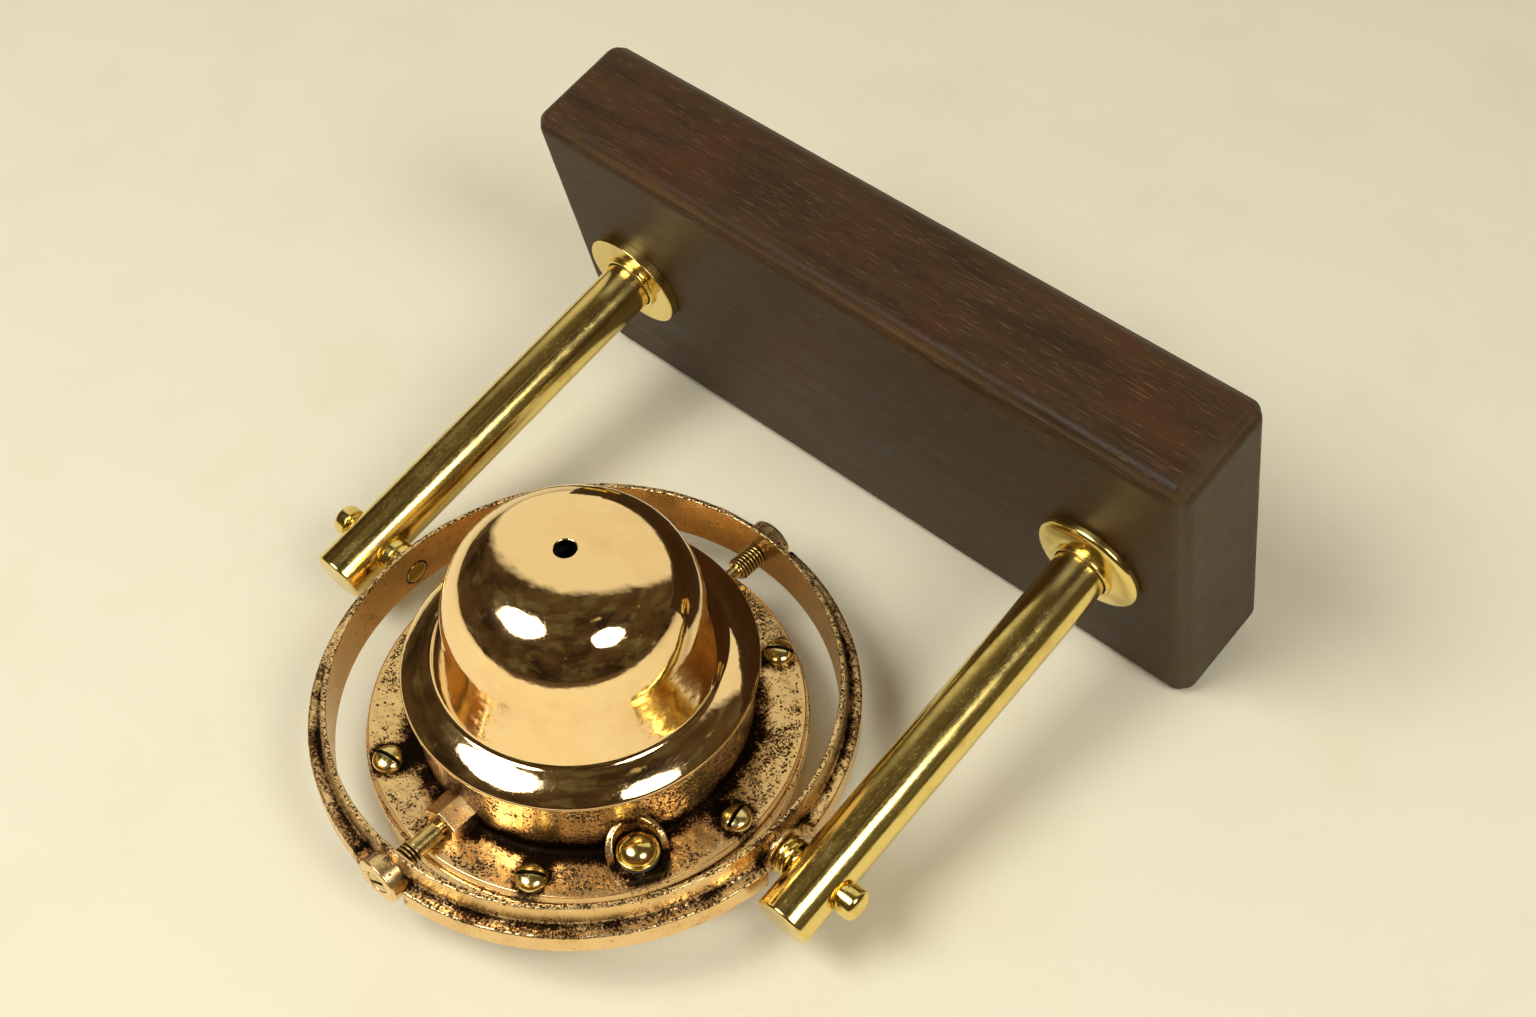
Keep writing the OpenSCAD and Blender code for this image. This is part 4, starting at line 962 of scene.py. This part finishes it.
# Room: a pale table, two large soft lamps, and for the metal to mirror a pale backdrop and a dark room
tableTop = dict(clean="#e9e4cc", stain="#e0d8b9", dust="#b9ad88", speck="#6b5a3c", size=3.0,
                roomSide=(0.686, -0.728, 0), edge=(0.36, 0.44))
room = dict(dark="#54432c", darkest="#2b2015", grey="#6a6346", glints="#c8b888", backdrop="#ebe3c8",
            backdropWay=(-0.42, 0.80, 0.43), fillColour="#fff3de", fillLevel=0.3)
lamps = (dict(name="left_softbox", azimuth=-115, height=57, distance=1.3, size=(0.78, 0.64), level=9.8),
         dict(name="right_softbox", azimuth=-7, height=46, distance=1.3, size=(0.52, 0.54), level=9.2))


# Past its edge the table shows as dark in reflections alone, as the room beyond it would.
def makeTable(clean, stain, dust, speck, size, roomSide, edge):
    half = size / 2
    mesh = bpy.data.meshes.new("table")
    corners = [(-half, -half, 0), (half, -half, 0), (half, half, 0), (-half, half, 0)]
    mesh.from_pydata(corners, [], [(0, 1, 2, 3)])
    shown("table", mesh)
    material, add, shader = newFinish("painted_table_top")
    where = patternPlace(add)
    stains, dusts, specks = [add("TexNoise", sized(where, *sizes))
                             for sizes in ((60, 5, 0.6), (4, 3, 0.6), (0.7, 1))]
    side = add("VectorMath", (where, roomSide), "Value", operation="DOT_PRODUCT")
    glossy = add("LightPath", output="Is Glossy Ray")
    beyond = add("Math", (add("MapRange", (side, *edge)), glossy), operation="MULTIPLY")
    tone = painted(add, clean, (stains, 0.5, 0.75, 0.5, stain), (dusts, 0.7, 0.76, 0.12, dust),
                   (specks, 0.78, 0.82, 0.5, speck), (beyond, 0, 1, 1, room["dark"]))
    fill(shader, {"Base Color": tone, "Roughness": 0.75, "Specular IOR Level": 0.2})
    mesh.materials.append(material)


# The world lights the scene with a plain colour, and shows metal a dark room with a pale sheet behind.
def makeWorld(dark, darkest, grey, glints, backdrop, backdropWay, fillColour, fillLevel):
    world = bpy.data.worlds.new("room")
    bpy.context.scene.world = world
    world.use_nodes = True
    tree = world.node_tree
    tree.nodes.clear()
    add = partial(addNode, tree)
    way = add("TexCoord", output="Generated")
    paths = add("LightPath").node.outputs
    large, middling, small = [add("TexNoise", sized(way, *sizes)) for sizes in ((350, 4), (280, 3), (110, 1))]
    behind = add("VectorMath", (way, backdropWay), "Value", operation="DOT_PRODUCT")
    seen = painted(add, dark, (large, 0.35, 0.65, 1, darkest), (middling, 0.52, 0.72, 1, grey),
                   (small, 0.76, 0.8, 1, glints), (behind, 0.675, 0.735, 1, backdrop))
    mirrored, plain, light = [add("Background", given) for given in (
        (seen, 1.0), (colour(tableTop["clean"]), 1.0), (colour(fillColour), fillLevel))]
    direct = add("Math", (paths["Is Camera Ray"], paths["Is Transmission Ray"]), operation="MAXIMUM")
    inScene = add("MixShader", (paths["Is Glossy Ray"], light, mirrored))
    fill(tree.nodes.new("ShaderNodeOutputWorld"), {"Surface": add("MixShader", (direct, inScene, plain))})


# An oval lamp's power in watts for a given brightness: brightness times pi times its area.
def makeLamp(name, azimuth, height, distance, size, level):
    light = bpy.data.lights.new(name, "AREA")
    light.shape = "ELLIPSE"
    light.size, light.size_y = size
    light.energy = level * math.pi * (light.size * light.size_y * math.pi / 4)
    light.color = (1.0, 0.975, 0.92)
    turn = math.radians(azimuth)
    rise = math.radians(height)
    way = Vector((math.cos(turn) * math.cos(rise), math.sin(turn) * math.cos(rise), math.sin(rise)))
    lamp = shown(name, light)
    lamp.location = Vector(gimbalMiddle) + way * distance
    lamp.rotation_euler = way.to_track_quat("Z", "Y").to_euler()


makeTable(**tableTop)
makeWorld(**room)
for lampValues in lamps:
    makeLamp(**lampValues)
bpy.context.scene.view_settings.view_transform = "Standard"

# Camera, in millimetres and degrees, as the photo was taken
view = dict(place=(240.63, -227.007, 440.338), turn=(40.8909, 1.1634, 41.9311), lens=50.737, sensor=36)
lens = bpy.data.cameras.new("camera")
lens.lens = view["lens"]
lens.sensor_width = view["sensor"]
lens.clip_start = 0.01
camera = shown("camera", lens)
camera.location = Vector(view["place"]) * mm
camera.rotation_euler = [math.radians(turn) for turn in view["turn"]]
bpy.context.scene.camera = camera
print("room and camera made")
